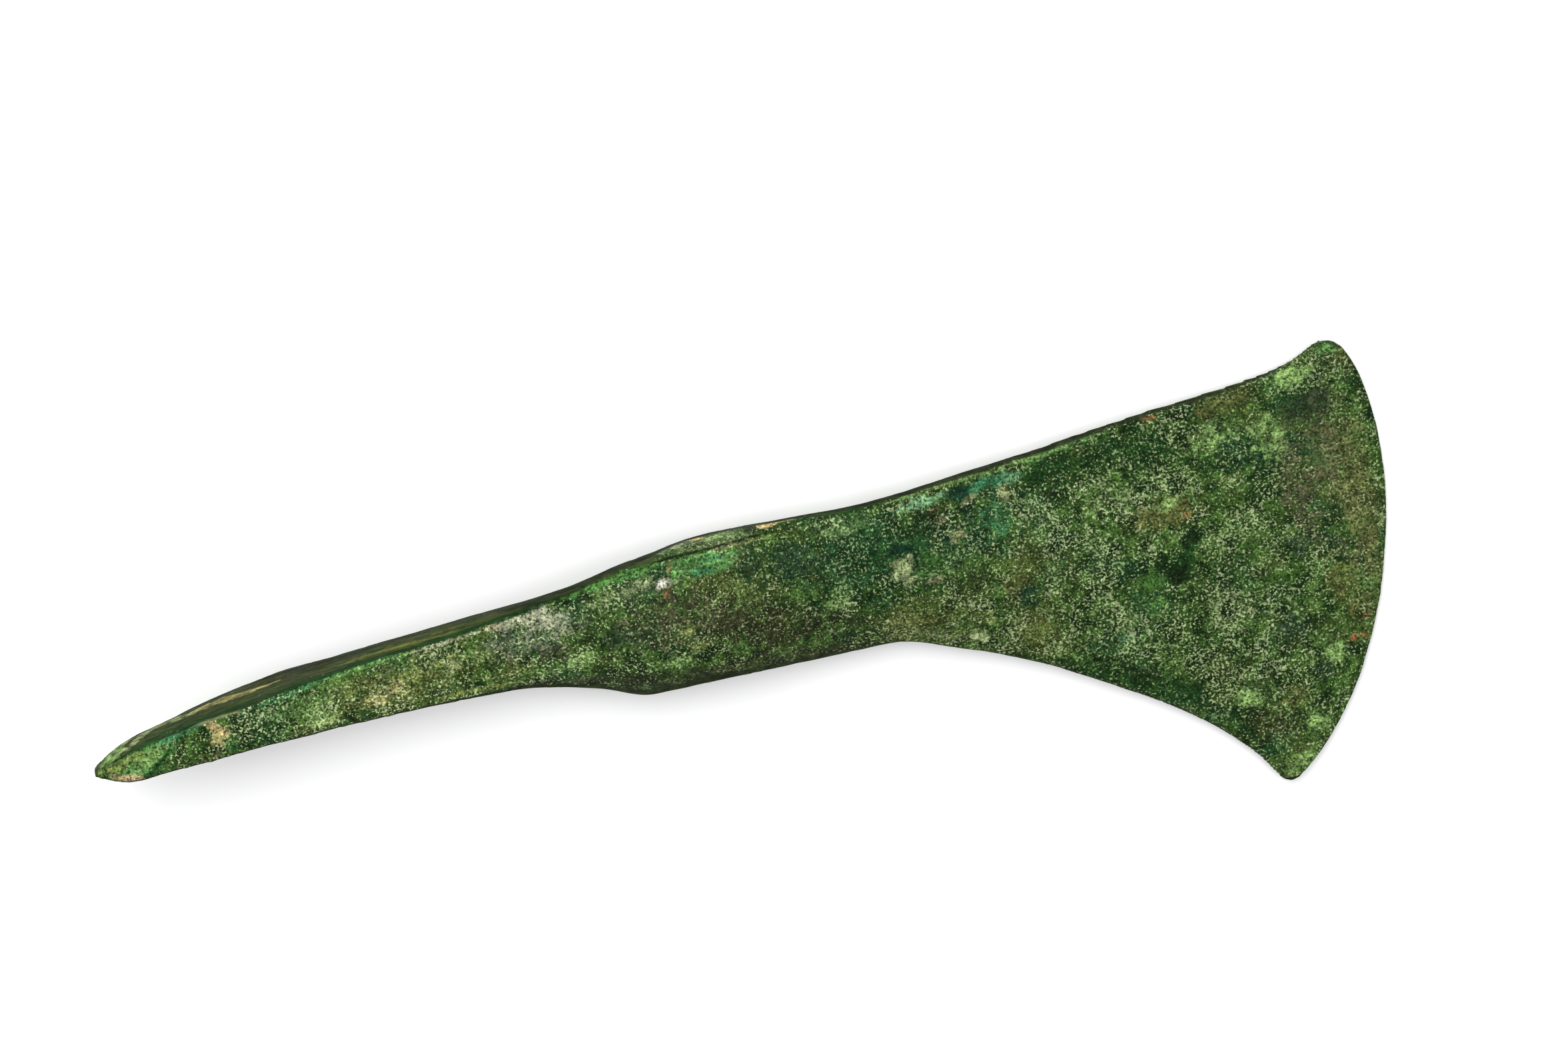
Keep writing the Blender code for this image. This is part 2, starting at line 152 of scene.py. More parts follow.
FACE_STAINS = rows_of(Stain, (
    # Butt
    (6.5, -4.2, 5.2, 2.4, 14, VIVID_GREEN, 0.85, 0.2),
    (4.5, -3.9, 3.6, 0.9, 14, YELLOW_GREEN, 0.6, 0.2),
    (3.0, -4.7, 1.8, 0.5, -8, YELLOW_GREEN, 0.6, 0.2),
    (6.5, -5.1, 1.8, 0.6, 22, VIVID_GREEN, 0.8, 0.1),
    (7.9, -4.1, 2.9, 0.75, 30, LIGHT_GREEN, 1.0, 0.0),
    (8.8, -5.0, 2.4, 0.35, 38, FOREST, 0.8, 0.1),
    (10.2, -3.5, 1.2, 0.3, 50, FOREST, 0.6, 0.3),
    (4.3, -6.0, 2.6, 0.45, -14, PINK_TAN, 0.95, 0.0),
    (17.2, -3.6, 1.5, 1.0, 0, PALE_TAN, 0.65, 0.6),
    (18.7, -4.1, 1.1, 1.7, 10, VIVID_GREEN, 0.55, 0.4),
    (18.9, -5.1, 0.8, 0.6, 0, DEEP_TEAL, 0.7, 0.4),
    (17.3, -2.1, 2.1, 0.85, -35, TAN, 1.0, 0.0),
    (15.0, -5.6, 2.6, 0.6, 10, PURPLE_BROWN, 0.5, 0.4),
    # Tang
    (41.5, -1.2, 17.0, 3.8, 5, YELLOW_GREEN, 0.45, 1.0),
    (28.0, -1.8, 7.0, 3.0, 4, VIVID_GREEN, 0.35, 1.0),
    (60.5, 1.0, 7.5, 2.9, 4, ASH_AND_SHEEN, 0.36, 1.1),
    (24.0, -1.5, 6.0, 1.0, 6, FOREST, 0.4, 0.9),
    (34.0, 0.9, 4.5, 1.0, 8, GRASS, 0.5, 0.6),
    (31.0, -3.6, 3.0, 1.2, 0, LIGHT_GREEN, 0.35, 1.2),
    (41.0, 0.4, 2.2, 1.1, 10, COOL_DARK, 0.6, 0.6),
    (38.7, -2.7, 1.9, 0.8, 14, PALE_TAN, 0.8, 1.4),
    (41.4, -1.7, 1.7, 0.7, 22, PALE_TAN, 0.7, 1.3),
    (49.2, -0.5, 1.9, 1.1, 10, GREY_GREEN, 0.45, 1.3),
    (51.7, 0.6, 1.4, 0.8, 10, LIGHT_GREEN, 0.45, 1.2),
    (48.0, -3.4, 4.5, 0.9, 0, COOL_DARK, 0.35, 0.8),
    (56.0, 1.6, 3.4, 1.3, 6, COOL_DARK, 0.55, 0.6),
    (60.0, -0.2, 4.5, 1.6, 4, COOL_DARK, 0.22, 1.0),
    # Neck
    (57.5, -2.4, 4.0, 1.2, 4, BROWN_OLIVE, 0.45, 1.0),
    (63.5, -1.8, 3.2, 1.4, 0, PURPLE_BROWN, 0.4, 0.6),
    (55.8, 3.5, 2.2, 0.35, 8, PINK_TAN, 0.5, 0.6),
    # Ash stains on the neck's convex upper part, partly pale crust and partly a painted highlight (sheen)
    (59.5, 3.6, 4.8, 0.9, 6, ASH_AND_SHEEN, 0.8, 1.0),
    (62.6, 3.3, 3.0, 1.8, -12, ASH_AND_SHEEN, 0.9, 1.0),
    (66.5, -3.1, 2.5, 1.2, 12, LIGHT_GREEN, 0.65, 1.1),
    (63.0, -3.8, 3.2, 0.7, 0, LIGHT_GREEN, 0.35, 0.8),
    (66.5, 3.6, 2.6, 1.8, 10, BLUE_GREEN, 0.4, 0.8),
    # Shoulder
    (80.0, -1.0, 10.5, 5.0, 0, PURPLE_BROWN, 0.52, 0.9),
    (73.0, 4.4, 5.5, 1.2, 8, GREY_GREEN, 0.42, 0.9),
    (72.0, -1.2, 3.4, 2.2, 0, COOL_DARK, 0.5, 0.7),
    (88.0, -2.0, 5.5, 2.8, 0, DARK_BROWN, 0.6, 1.0),
    (90.0, 4.6, 2.2, 2.6, 0, COOL_DARK, 0.6, 0.8),
    # Bright greens high on the convex shoulder, partly patina and partly a painted highlight where it faces
    # the light
    (70.5, 5.8, 3.6, 0.6, 9, VIVID_GREEN, 0.6, 0.5),
    (74.2, 6.2, 3.0, 0.65, 8, VIVID_GREEN, 0.75, 0.3),
    (77.6, 7.1, 1.8, 0.6, 4, GRASS, 0.75, 0.3),
    (76.5, 4.5, 3.0, 1.5, 0, ASH_AND_SHEEN, 0.12, 0.9),
    (84.8, 5.9, 5.2, 1.9, 5, VIVID_GREEN, 0.85, 0.4),
    (84.2, 5.0, 1.9, 0.8, 0, TEAL, 0.7, 0.6),
    (86.4, 6.4, 1.9, 0.6, 0, TEAL, 0.55, 0.6),
    (80.3, 6.4, 1.0, 0.4, 60, RUST, 0.5, 0.3),
    (79.2, 3.2, 1.2, 0.45, 35, RUST, 0.6, 0.2),
    # The dome: a purple-brown ring, a pale ash ring, and a white top that is partly pale crust and partly a
    # painted highlight (glint)
    (78.9, 4.5, 1.45, 1.35, 0, PURPLE_BROWN, 0.5, 0.3),
    (78.9, 4.5, 1.15, 1.05, 0, ASH_AND_SHEEN, 0.8, 0.2),
    (78.9, 4.5, 0.62, 0.56, 0, WHITE_CRUST_AND_GLINT, 1.0, 0.0),
    (79.0, -6.2, 2.4, 1.1, 0, LIGHT_GREEN, 0.4, 0.9),
    (81.0, -2.3, 1.1, 0.9, 0, YELLOW_GREEN, 0.6, 0.9),
    (82.0, -4.7, 1.1, 1.0, 0, YELLOW_GREEN, 0.4, 0.9),
    (93.0, -7.7, 0.9, 0.7, 0, LIGHT_GREEN, 0.5, 0.6),
    (72.7, 0.3, 0.8, 0.7, 0, SCAB, 0.5, 0.8),
    (83.5, -9.0, 2.2, 0.5, 0, DARK_BROWN, 0.7, 0.2),
    # Waist
    (107.0, 2.6, 14.0, 5.2, -2, FOREST, 0.8, 0.85),
    (94.0, 3.4, 6.5, 4.2, 0, FOREST, 0.55, 0.95),
    (110.0, 1.5, 17.0, 6.5, -2, BLUE_GREEN, 0.32, 1.0),
    (97.0, 3.6, 3.4, 2.6, 0, COOL_DARK, 0.65, 0.8),
    (98.6, 4.3, 1.0, 0.8, 0, GRASS, 0.25, 0.9),
    (93.0, -4.6, 8.0, 3.6, 0, DARK_BROWN, 0.7, 1.0),
    (103.0, -6.0, 4.0, 2.4, 0, DARK_BROWN, 0.5, 1.0),
    (103.0, 6.7, 3.6, 1.2, 0, LIGHT_GREEN, 0.3, 1.2),
    (100.5, -2.6, 2.6, 0.8, -25, LIGHT_GREEN, 0.3, 1.2),
    (110.0, -7.2, 4.6, 1.4, -6, OLIVE, 0.5, 1.1),
    (113.0, -9.7, 4.4, 0.8, -22, GREY_GREEN, 0.45, 0.6),
    (114.5, 5.0, 4.6, 1.9, 0, NEAR_BLACK, 0.65, 1.0),
    (110.6, 2.3, 1.9, 0.9, 0, DEEP_TEAL, 0.8, 0.2),
    (111.9, 0.9, 0.7, 1.5, 0, DEEP_TEAL, 0.8, 0.2),
    (117.2, 2.3, 0.9, 0.9, 0, DEEP_TEAL, 0.7, 0.3),
    (114.0, -0.6, 1.8, 2.2, 0, GRASS, 0.45, 0.7),
    (114.7, -2.6, 1.6, 0.6, 0, SCAB, 0.75, 0.6),
    (114.4, 7.9, 3.2, 1.0, 4, PALE_TEAL, 0.8, 0.9),
    (117.4, 8.3, 1.2, 0.5, 0, PALE_TEAL, 0.7, 0.5),
    (120.0, 8.0, 2.4, 1.3, 0, DEEP_TEAL, 0.95, 0.1),
    (122.8, 8.4, 2.0, 1.3, 8, TEAL, 0.85, 0.3),
    (125.6, 8.8, 2.6, 1.2, 6, TEAL, 0.8, 0.3),
    (127.2, 8.7, 1.6, 1.0, 0, PALE_TEAL, 0.6, 0.7),
    (116.6, 6.6, 1.6, 1.0, 0, DARK_BROWN, 0.75, 0.6),
    (121.0, 6.9, 1.3, 0.5, 30, SCAB, 0.9, 0.3),
    (125.7, 6.8, 1.0, 1.5, 0, SCAB, 0.8, 0.4),
    (118.6, 2.8, 1.5, 0.6, -12, SCAB, 0.85, 0.3),
    (116.8, 5.0, 0.9, 0.5, 0, SCAB, 0.75, 0.4),
    (118.1, 1.8, 0.8, 0.35, -10, SCAB, 0.75, 0.2),
    (124.0, 3.4, 2.4, 4.4, 0, TEAL, 0.5, 0.85),
    (110.4, -0.5, 1.4, 1.9, -14, GREY_GREEN, 0.95, 0.2),
    (110.9, -2.1, 1.3, 0.7, 14, GREY_GREEN, 0.95, 0.2),
    (109.2, -1.0, 1.0, 0.5, 24, GREY_GREEN, 0.9, 0.2),
    (111.6, 0.3, 0.6, 1.2, -10, GREY_GREEN, 0.9, 0.2),
    (109.9, 0.8, 1.1, 0.45, 20, SCAB, 0.85, 0.2),
    (118.8, -11.2, 1.7, 1.1, -22, GREY_GREEN, 0.75, 0.3),
    (120.6, -8.8, 1.1, 1.0, 0, YELLOW_GREEN, 0.45, 0.7),
    (124.3, -5.2, 1.4, 1.4, 0, OLIVE, 0.6, 0.6),
    (120.8, 3.5, 1.8, 4.0, 0, DEEP_TEAL, 0.45, 0.9),
    (105.0, 2.6, 4.6, 2.2, -8, FOREST, 0.5, 1.1),
    (107.5, -3.8, 3.2, 1.6, 0, BLUE_GREEN, 0.35, 0.9),
    (119.0, -3.0, 3.6, 2.4, 0, DARK_BROWN, 0.35, 1.2),
    (126.4, -7.2, 2.1, 1.8, 0, DEEP_TEAL, 0.75, 0.7),
    (126.0, -11.6, 3.4, 1.7, -10, OLIVE, 0.45, 0.9),
    # Blade
    (141.0, 9.0, 14.0, 2.6, 8, FOREST, 0.45, 0.8),
    (171.0, -2.0, 4.0, 17.0, 0, SCAB, 0.3, 0.7),
    (134.0, 9.0, 7.0, 1.8, 8, FOREST, 0.75, 0.5),
    (134.0, 11.2, 8.0, 0.8, 6, VIVID_GREEN, 0.5, 0.3),
    (146.5, 8.2, 5.5, 3.4, 0, FOREST, 0.65, 0.7),
    (157.0, 12.5, 5.5, 1.8, 6, DARK_BROWN, 0.4, 0.6),
    (156.0, 12.4, 4.5, 1.2, 6, BROWN_OLIVE, 0.5, 0.5),
    (146.7, 12.5, 1.2, 0.4, 8, ORANGE_RUST, 0.9, 0.0),
    (153.8, 8.3, 3.6, 2.0, 0, LIGHT_GREEN, 0.5, 0.7),
    (161.4, 6.8, 3.8, 3.2, -30, LIGHT_GREEN, 0.55, 0.45),
    (167.0, 9.0, 4.0, 3.4, 0, DARK_BROWN, 0.5, 0.4),
    (168.0, 9.6, 3.4, 2.8, 0, COOL_DARK, 0.45, 0.4),
    # Light greens on the upper horn's rounded tip, partly patina and partly a painted highlight
    (166.6, 14.2, 3.6, 1.5, 8, LIGHT_GREEN, 0.85, 0.3),
    (171.4, 16.5, 1.9, 1.1, -20, VIVID_GREEN, 0.6, 0.2),
    (146.0, -0.4, 5.4, 2.6, 8, BROWN_OLIVE, 0.72, 0.35),
    (146.3, 0.8, 2.2, 0.9, 10, LIGHT_GREEN, 0.55, 0.5),
    (148.7, -1.2, 0.7, 0.6, 0, RUST, 0.5, 0.3),
    (149.0, -4.5, 2.8, 1.7, 40, FOREST, 0.9, 0.45),
    (148.6, -4.4, 1.8, 0.9, 40, NEAR_BLACK, 0.7, 0.3),
    (146.0, -7.6, 3.2, 2.6, 30, FOREST, 0.9, 0.45),
    (146.0, -8.4, 2.0, 1.6, 20, NEAR_BLACK, 0.7, 0.4),
    (144.4, -6.6, 1.3, 1.1, 0, DEEP_GREEN, 0.7, 0.2),
    (142.6, -10.6, 2.6, 3.0, 0, GRASS, 0.6, 0.3),
    (142.3, -8.7, 1.1, 1.5, 0, GRASS, 0.5, 0.2),
    (130.5, -16.8, 4.4, 1.0, -24, GRASS, 0.45, 0.5),
    (136.5, -19.2, 5.0, 1.6, -26, NEAR_BLACK, 0.55, 0.6),
    (134.5, -15.6, 3.4, 1.8, -20, BLUE_GREEN, 0.4, 0.9),
    (145.0, -24.5, 6.0, 1.3, -34, FOREST, 0.5, 0.7),
    (152.4, -26.8, 2.0, 1.5, -30, LIGHT_GREEN, 0.85, 0.4),
    (164.8, -22.8, 1.8, 2.0, 20, LIGHT_GREEN, 0.7, 0.4),
    (160.8, -31.6, 2.5, 1.5, 24, LIGHT_GREEN, 0.65, 0.3),
    (158.6, -33.2, 1.6, 1.1, 0, FOREST, 0.5, 0.4),
    (157.0, -36.4, 2.6, 1.4, 20, LIGHT_GREEN, 0.55, 0.3),
    (153.8, -30.4, 3.4, 3.6, 0, DARK_BROWN, 0.6, 0.5),
    (158.5, -28.0, 3.2, 2.0, 10, BROWN_OLIVE, 0.5, 0.6),
    (159.6, -18.6, 3.0, 2.6, 0, COOL_DARK, 0.65, 0.6),
    (162.2, -25.4, 2.5, 2.0, 0, COOL_DARK, 0.6, 0.5),
    (164.0, -1.5, 3.0, 9.0, 0, PURPLE_BROWN, 0.6, 0.8),
    (168.0, 4.0, 3.0, 5.5, 0, PURPLE_BROWN, 0.5, 0.4),
    (162.8, -8.0, 2.3, 1.8, 0, COOL_DARK, 0.7, 0.4),
    (167.5, -8.3, 1.6, 1.5, 0, COOL_DARK, 0.55, 0.4),
    (172.0, -4.0, 2.8, 14.0, 0, OLIVE, 0.5, 0.8),
    (167.4, -21.7, 0.55, 0.7, 0, ORANGE_RUST, 0.9, 0.0),
    (168.9, -21.7, 0.6, 0.6, 0, ORANGE_RUST, 0.8, 0.1),
    (169.6, -19.0, 0.9, 0.45, 30, RUST, 0.6, 0.2),
    (139.0, 2.6, 6.0, 2.6, -14, GREY_GREEN, 0.22, 1.4),
    (152.5, -14.5, 6.0, 3.2, -34, GREY_GREEN, 0.22, 1.4),
    (157.5, -4.6, 3.4, 3.0, 0, LIGHT_GREEN, 0.22, 1.3),
    (137.6, -15.2, 2.4, 1.0, -26, PALE_TEAL, 0.35, 1.1),
    (153.5, 4.6, 4.0, 1.6, -20, FOREST, 0.45, 0.8),
    (130.6, -4.0, 3.2, 2.8, 0, DARK_BROWN, 0.3, 1.2),
    (148.5, -21.0, 5.0, 1.8, -36, DARK_BROWN, 0.3, 1.2),
    (167.6, -14.0, 2.8, 5.0, 12, BROWN_OLIVE, 0.55, 0.5),
))

# The coat of the dark rims, a painted shade where the rounded edges turn away from the light: its colour,
# cover and grains as for a stain
Coat = namedtuple("Coat", "colour cover grains")
PAINTED_RIM_SHADE_COAT = Coat(PAINTED_RIM_SHADE, 1.0, 0.1)

# The stains of the narrow side that the photograph shows
SIDE_STAINS = rows_of(Stain, (
    (28.0, 3.0, 10.0, 0.8, 6, DARK_BROWN, 0.6, 0.1),
    # Light and grey-green streaks on the butt's narrow side, partly patina and partly a painted highlight
    (3.0, -2.6, 2.8, 0.7, 30, LIGHT_GREEN, 0.6, 0.3),
    (6.3, -1.5, 3.2, 0.4, 24, GREY_GREEN, 0.6, 0.1),
    (10.0, -0.1, 3.4, 0.35, 17, GREY_GREEN, 0.5, 0.1),
    (43.0, 3.8, 3.0, 0.35, 6, OLIVE, 0.8, 0.1),
    (38.0, 3.2, 4.0, 0.3, 8, OLIVE, 0.5, 0.1),
    (50.0, 4.5, 3.5, 0.3, 6, OLIVE, 0.4, 0.1),
))

# The stains of the side's crusted swelling
LUG_STAINS = rows_of(Stain, (
    (86.0, 8.8, 7.5, 0.8, 0, GREY_GREEN, 0.3, 1.4),
    (81.6, 9.0, 2.0, 0.5, 10, ASH_AND_SHEEN, 0.4, 0.9),
    (88.3, 9.1, 2.9, 0.5, 0, LIGHT_GREEN, 0.5, 1.1),
    (84.3, 9.4, 1.4, 0.35, -4, TAN, 0.6, 0.2),
    (94.0, 9.3, 1.5, 0.5, 0, TAN, 0.9, 0.0),
    (97.0, 9.3, 1.3, 0.2, 0, PALE_TAN, 0.7, 0.1),
    (91.4, 9.2, 1.0, 0.6, 0, NEAR_BLACK, 0.85, 0.2),
))

# Where the skin stands out a little from the smooth form: round the butt's tip, and along the butt's
# upper outline. Each rise and place is in millimetres
TIP_RISE = 0.35
TIP_END = 3.0
BUTT_RISE = 0.25
BUTT_MIDDLE = 9.0
BUTT_REACH = 5.0

# A band along the axe head, by points along it, across as seen and half as wide as the band, with its
# colour, cover and grains as for a stain, and its rise in millimetres
Band = namedtuple("Band", "path colour cover grains rise")

# The line where the tang's broad face ends and its narrow side begins
SIDE_LINE = (
    (1, -3.9, 0), (4, -3.1, 0.25), (8, -2.1, 0.4), (12, -1.1, 0.5), (20, 0.1, 0.4), (30, 1.55, 0.35),
    (40, 2.75, 0.35), (50, 3.5, 0.35), (58, 4.45, 0.4), (66, 5.6, 0.35), (76, 7.4, 0),
)

BANDS = (
    # The narrow side's dark line beside the tang's face, and its pale streaks
    Band(SIDE_LINE, FOREST, 0.85, 0.1, -0.05),
    Band(
        ((13.5, 0.6, 0), (16, 1.1, 0.35), (19, 1.5, 0.4), (22, 1.75, 0.3), (27, 2.6, 0)),
        PALE_TAN, 0.62, 0.0, 0.03,
    ),
    Band(((60.3, 5.45, 0), (61.5, 5.6, 0.14), (63.5, 5.85, 0)), ASH_AND_SHEEN, 0.8, 0.0, 0.0),
    Band(((22, 3.0, 0), (30, 3.6, 0.25), (40, 4.3, 0.25), (52, 5.0, 0)), NEAR_BLACK, 0.6, 0.0, -0.03),
    Band(((34, 2.7, 0), (40, 3.3, 0.2), (46, 3.7, 0.2), (54, 4.3, 0)), OLIVE, 0.6, 0.0, 0.03),
    Band(((4, -1.6, 0), (8, -0.5, 0.25), (12, 0.3, 0.3), (16, 0.7, 0)), GREY_GREEN, 0.4, 0.0, 0.03),
    # The tang's bright border along the upper edge of its broad face: teal, green and ash patina, lightened
    # as a painted highlight where the rounded edge catches the light; and a yellow-green band above the
    # lower edge
    Band(
        ((8, -2.7, 0), (10, -2.3, 0.3), (14, -1.5, 0.35), (16.5, -1.0, 0)),
        TEAL, 0.75, 0.3, 0.05,
    ),
    Band(((13, -1.2, 0), (16, -0.8, 0.2), (20, -0.5, 0.2), (23, -0.3, 0)), SCAB, 0.6, 0.0, 0.0),
    Band(
        ((19, -0.8, 0), (24, -0.2, 0.3), (28, 0.5, 0.35), (32, 1.2, 0.3), (35, 1.7, 0)),
        TEAL, 0.6, 0.4, 0.04,
    ),
    Band(
        ((31, 1.2, 0), (34, 1.5, 0.3), (38, 2.0, 0.35), (42, 2.3, 0.3), (47, 2.6, 0)),
        VIVID_GREEN, 0.6, 0.6, 0.05,
    ),
    Band(
        ((42, 2.2, 0), (46, 2.55, 0.25), (50, 2.85, 0.3), (54, 3.25, 0.25), (57, 3.7, 0)),
        ASH_AND_SHEEN, 0.7, 0.3, 0.05,
    ),
    Band(
        ((62, 4.7, 0), (66, 5.3, 0.3), (70, 6.1, 0.35), (74, 6.8, 0.35), (78, 7.4, 0)),
        GRASS, 0.7, 0.2, 0.04,
    ),
    Band(((45, -4.3, 0), (49, -4.2, 0.3), (55, -4.2, 0.4), (60, -4.5, 0)), YELLOW_GREEN, 0.5, 0.6, 0.0),
    # The crease below the crusted swelling, a shallow groove painted near black as the shade in it, and the
    # border below the crease
    Band(
        ((77, 7.4, 0), (80, 7.6, 0.3), (84, 7.75, 0.32), (88, 7.95, 0.32), (92, 8.2, 0.25),
         (98, 8.2, 0)),
        NEAR_BLACK, 0.85, 0.1, -0.20,
    ),
    Band(((84, 7.4, 0), (88, 7.55, 0.25), (92, 7.6, 0.25), (95, 7.5, 0)), SCAB, 0.6, 0.6, 0.05),
    Band(((93, 8.8, 0), (98, 8.85, 0.4), (105, 8.75, 0.5), (112, 8.8, 0)), FOREST, 0.7, 0.4, 0.0),
    # The soft dark lower border: partly the patina's darker brown and green, partly painted shade where the
    # face turns down away from the light
    Band(
        ((50, -5.0, 0), (60, -5.4, 0.8), (66, -6.2, 1.2), (72, -7.9, 1.5), (80, -8.7, 1.5), (90, -8.6, 1.2),
         (100, -8.8, 0.9), (108, -9.2, 0)),
        DARK_BROWN, 0.62, 0.8, 0.0,
    ),
    Band(
        ((120, -13.4, 0), (128, -16.8, 1.0), (136, -20.6, 1.4), (144, -24.8, 1.5), (150, -29.4, 1.4),
         (154, -34.5, 0.8), (156, -37.4, 0)),
        FOREST, 0.65, 0.6, 0.0,
    ),
    # The waist's pale upper border: light green painted as a highlight along the rounded upper edge, over
    # the patina
    Band(
        ((108, 8.6, 0), (114, 9.0, 0.25), (120, 9.6, 0.35), (126, 10.1, 0.4), (132, 10.9, 0.35),
         (138, 11.6, 0)),
        LIGHT_GREEN, 0.45, 0.3, 0.05,
    ),
)

# How deep the painted shade along the upper and lower edges is, by place along the haft axis, in
# millimetres as seen
UPPER_PAINTED_SHADE = (
    (0, 0.2), (56, 0.3), (60, 0.9), (66, 1.1), (70, 0.95), (75, 0.75), (79, 0.5), (83, 0.3), (96, 0.3),
    (104, 0.4), (110, 0.55), (116, 0.75), (125, 0.85), (135, 0.8), (145, 0.65), (160, 0.6), (168, 0.35),
    (176, 0.2),
)
LOWER_PAINTED_SHADE = (
    (0, 0.2), (44, 0.2), (50, 0.4), (60, 0.5), (66, 0.6), (72, 0.75), (78, 0.8), (86, 0.7), (92, 0.6),
    (99, 0.5), (105, 0.25), (122, 0.25), (132, 0.4), (146, 0.5), (155, 0.4), (166, 0.2), (176, 0.2),
)

# The underside is in keeping and plainer: so many soft stains of these half lengths, turns, covers,
# grains and colours, freely placed
UNDERSIDE_STAIN_COUNT = 34
UNDERSIDE_SEED = 11
UNDERSIDE_LENGTHS = (2.0, 8.0)
UNDERSIDE_THINNEST = 1.2
UNDERSIDE_TURNS = (-20, 20)
UNDERSIDE_COVERS = (0.25, 0.6)
UNDERSIDE_GRAINS = (0.3, 1.2)
UNDERSIDE_COLOURS = (TEAL, LIGHT_GREEN, BROWN_OLIVE, NEAR_BLACK, GREY_GREEN, YELLOW_GREEN, COOL_DARK)

# How many pale grains there are along the haft axis
GRAIN_AMOUNTS = (
    (0, 0.20), (8, 0.25), (11, 0.8), (14, 0.85), (20, 0.85), (50, 0.85), (58, 0.82), (66, 0.66),
    (72, 0.55), (84, 0.5), (100, 0.7), (114, 0.8), (124, 0.95), (130, 1.0), (150, 1.0), (157, 0.88),
    (163, 0.72), (176, 0.66),
)

# By how much their amount varies in patches, the most there are, and how bare of them the narrow sides are
PATCHINESS = 0.35
MOST_GRAINS = 1.4
FLANK_BARENESS = 0.95

# How pale those grains are along the haft axis, from green at 0 to nearly white at 1
PALENESS = ((0, 0.4), (10, 0.7), (50, 0.65), (60, 0.6), (70, 0.3), (80, 0.1), (176, 0.1))

# A mark in the skin: its place and half sizes as seen, its turn, its rise in millimetres, its form
Mark = namedtuple("Mark", "along across length width turn rise form")
MARKS = rows_of(Mark, (
    (78.9, 4.5, 0.75, 0.7, 0, 0.28, "dome"),
    (78.9, 4.5, 1.4, 1.3, 0, -0.12, "ring"),
    (110.5, -0.6, 1.6, 2.1, -14, 0.20, "scab"),
    (110.6, 2.3, 1.8, 0.9, 0, -0.14, "dish"),
    (17.3, -2.1, 2.2, 0.9, -35, -0.20, "dish"),
    (7.9, -4.1, 3.0, 0.9, 30, -0.10, "dish"),
    (8.8, -5.0, 2.7, 0.5, 38, -0.14, "dish"),
    (149.2, -4.3, 2.0, 1.3, 40, -0.10, "dish"),
    (146.3, -7.9, 2.6, 2.3, 30, -0.14, "dish"),
    (145.5, -0.6, 5.0, 3.0, 8, -0.06, "dish"),
    (121.2, 6.9, 1.3, 0.55, 24, 0.12, "scab"),
    (125.7, 7.2, 0.9, 1.2, 0, 0.12, "scab"),
    (117.7, 3.1, 1.2, 0.6, -12, 0.12, "scab"),
    (118.1, 1.8, 0.8, 0.4, -10, 0.10, "scab"),
    (118.8, -11.2, 1.6, 1.1, -22, 0.12, "scab"),
    (124.3, -5.2, 1.4, 1.3, 0, 0.08, "scab"),
    (120.0, 8.4, 2.0, 0.8, 0, -0.16, "dish"),
    (114.5, 4.7, 3.6, 1.6, 0, -0.10, "dish"),
    (63.5, -1.8, 4.5, 1.4, 0, -0.12, "dish"),
    (38.7, -2.7, 1.8, 0.8, 14, 0.10, "scab"),
    (152.6, -33.2, 0.8, 0.7, 40, -0.30, "dish"),
))

# The border of what is laid on the skin: how much it frays, where it starts and where it is full, as
# shares of the half sizes, or of the depth of the painted shade along the edges
STAIN_BORDER = (0.42, 1.15, 0.45)
BAND_BORDER = (0.2, 1.3, 0.5)
PAINTED_RIM_SHADE_BORDER = (0.15, 1.2, 0.75)
MARK_BORDERS = {"scab": (0.45, 1.05, 0.75), "dish": (0.3, 1.1, 0.2)}

# The round marks' fray, and the ring's middle and half width as shares of the half sizes
ROUND_FRAY = 0.1
RING_MIDDLE = 0.82
RING_REACH = 0.24

# Corrosion pits. Each place has a chance from 0 to 1, and no pit where that is below PITLESS. A pit
# reaches PIT_REACH there and PIT_GROWTH further for each 1 above it, as shares of the spacing.
# SHALLOW_PIT is the depth that a chance of 0 would give, as a share of the deepest, and PIT_SCATTER makes
# the chances of neighbours unlike
PITLESS = 0.15
PIT_REACH = 0.12
PIT_GROWTH = 0.14
SHALLOW_PIT = 0.4
PIT_SCATTER = 7.3

# How fast the octaves of the skin's noises weaken, and how many times finer each is than the last
NOISE_FALL = 0.9
NOISE_STEP = 2.0

# From which noise the crust and the streaks begin and at which they are full, and what is taken off the
# crust and the grains, so that they move the skin both outwards and inwards
CRUST_SPAN = (-0.25, 0.45)
CRUST_MIDDLE = 0.6
GRAIN_MIDDLE = 0.1
STREAK_SPAN = (-0.2, 0.5)

# Where the narrow sides, the side that is seen and the underside begin and are full, by how far the skin
# is turned, and where the narrow sides end before the edge
FLANK_TURN = (0.62, 0.35)
FLANK_END = (172.0, 165.0)
SEEN_TURN = (0.0, 0.12)
UNDER_TURN = (0.25, 0.6)
EDGE_BAND_WIDTH = 8.0

# By how much the crust and the grains are lower on the narrow sides, and all relief near the edge
FLANK_CRUST_LOSS = 0.85
FLANK_GRAIN_LOSS = 0.8
EDGE_LOSS = 0.55

# The narrow sides' streaks: their height in millimetres, and how drawn out they are along the haft axis
STREAK_DEPTH = 0.05
STREAK_STRETCH = 0.12

# The shader's height runs over this many millimetres, about the skin evened out so many times, and is
# less by this share on the narrow sides
HEIGHT_RANGE = 0.12
HEIGHT_ROUNDS = 6
FLANK_HEIGHT_LOSS = 0.7

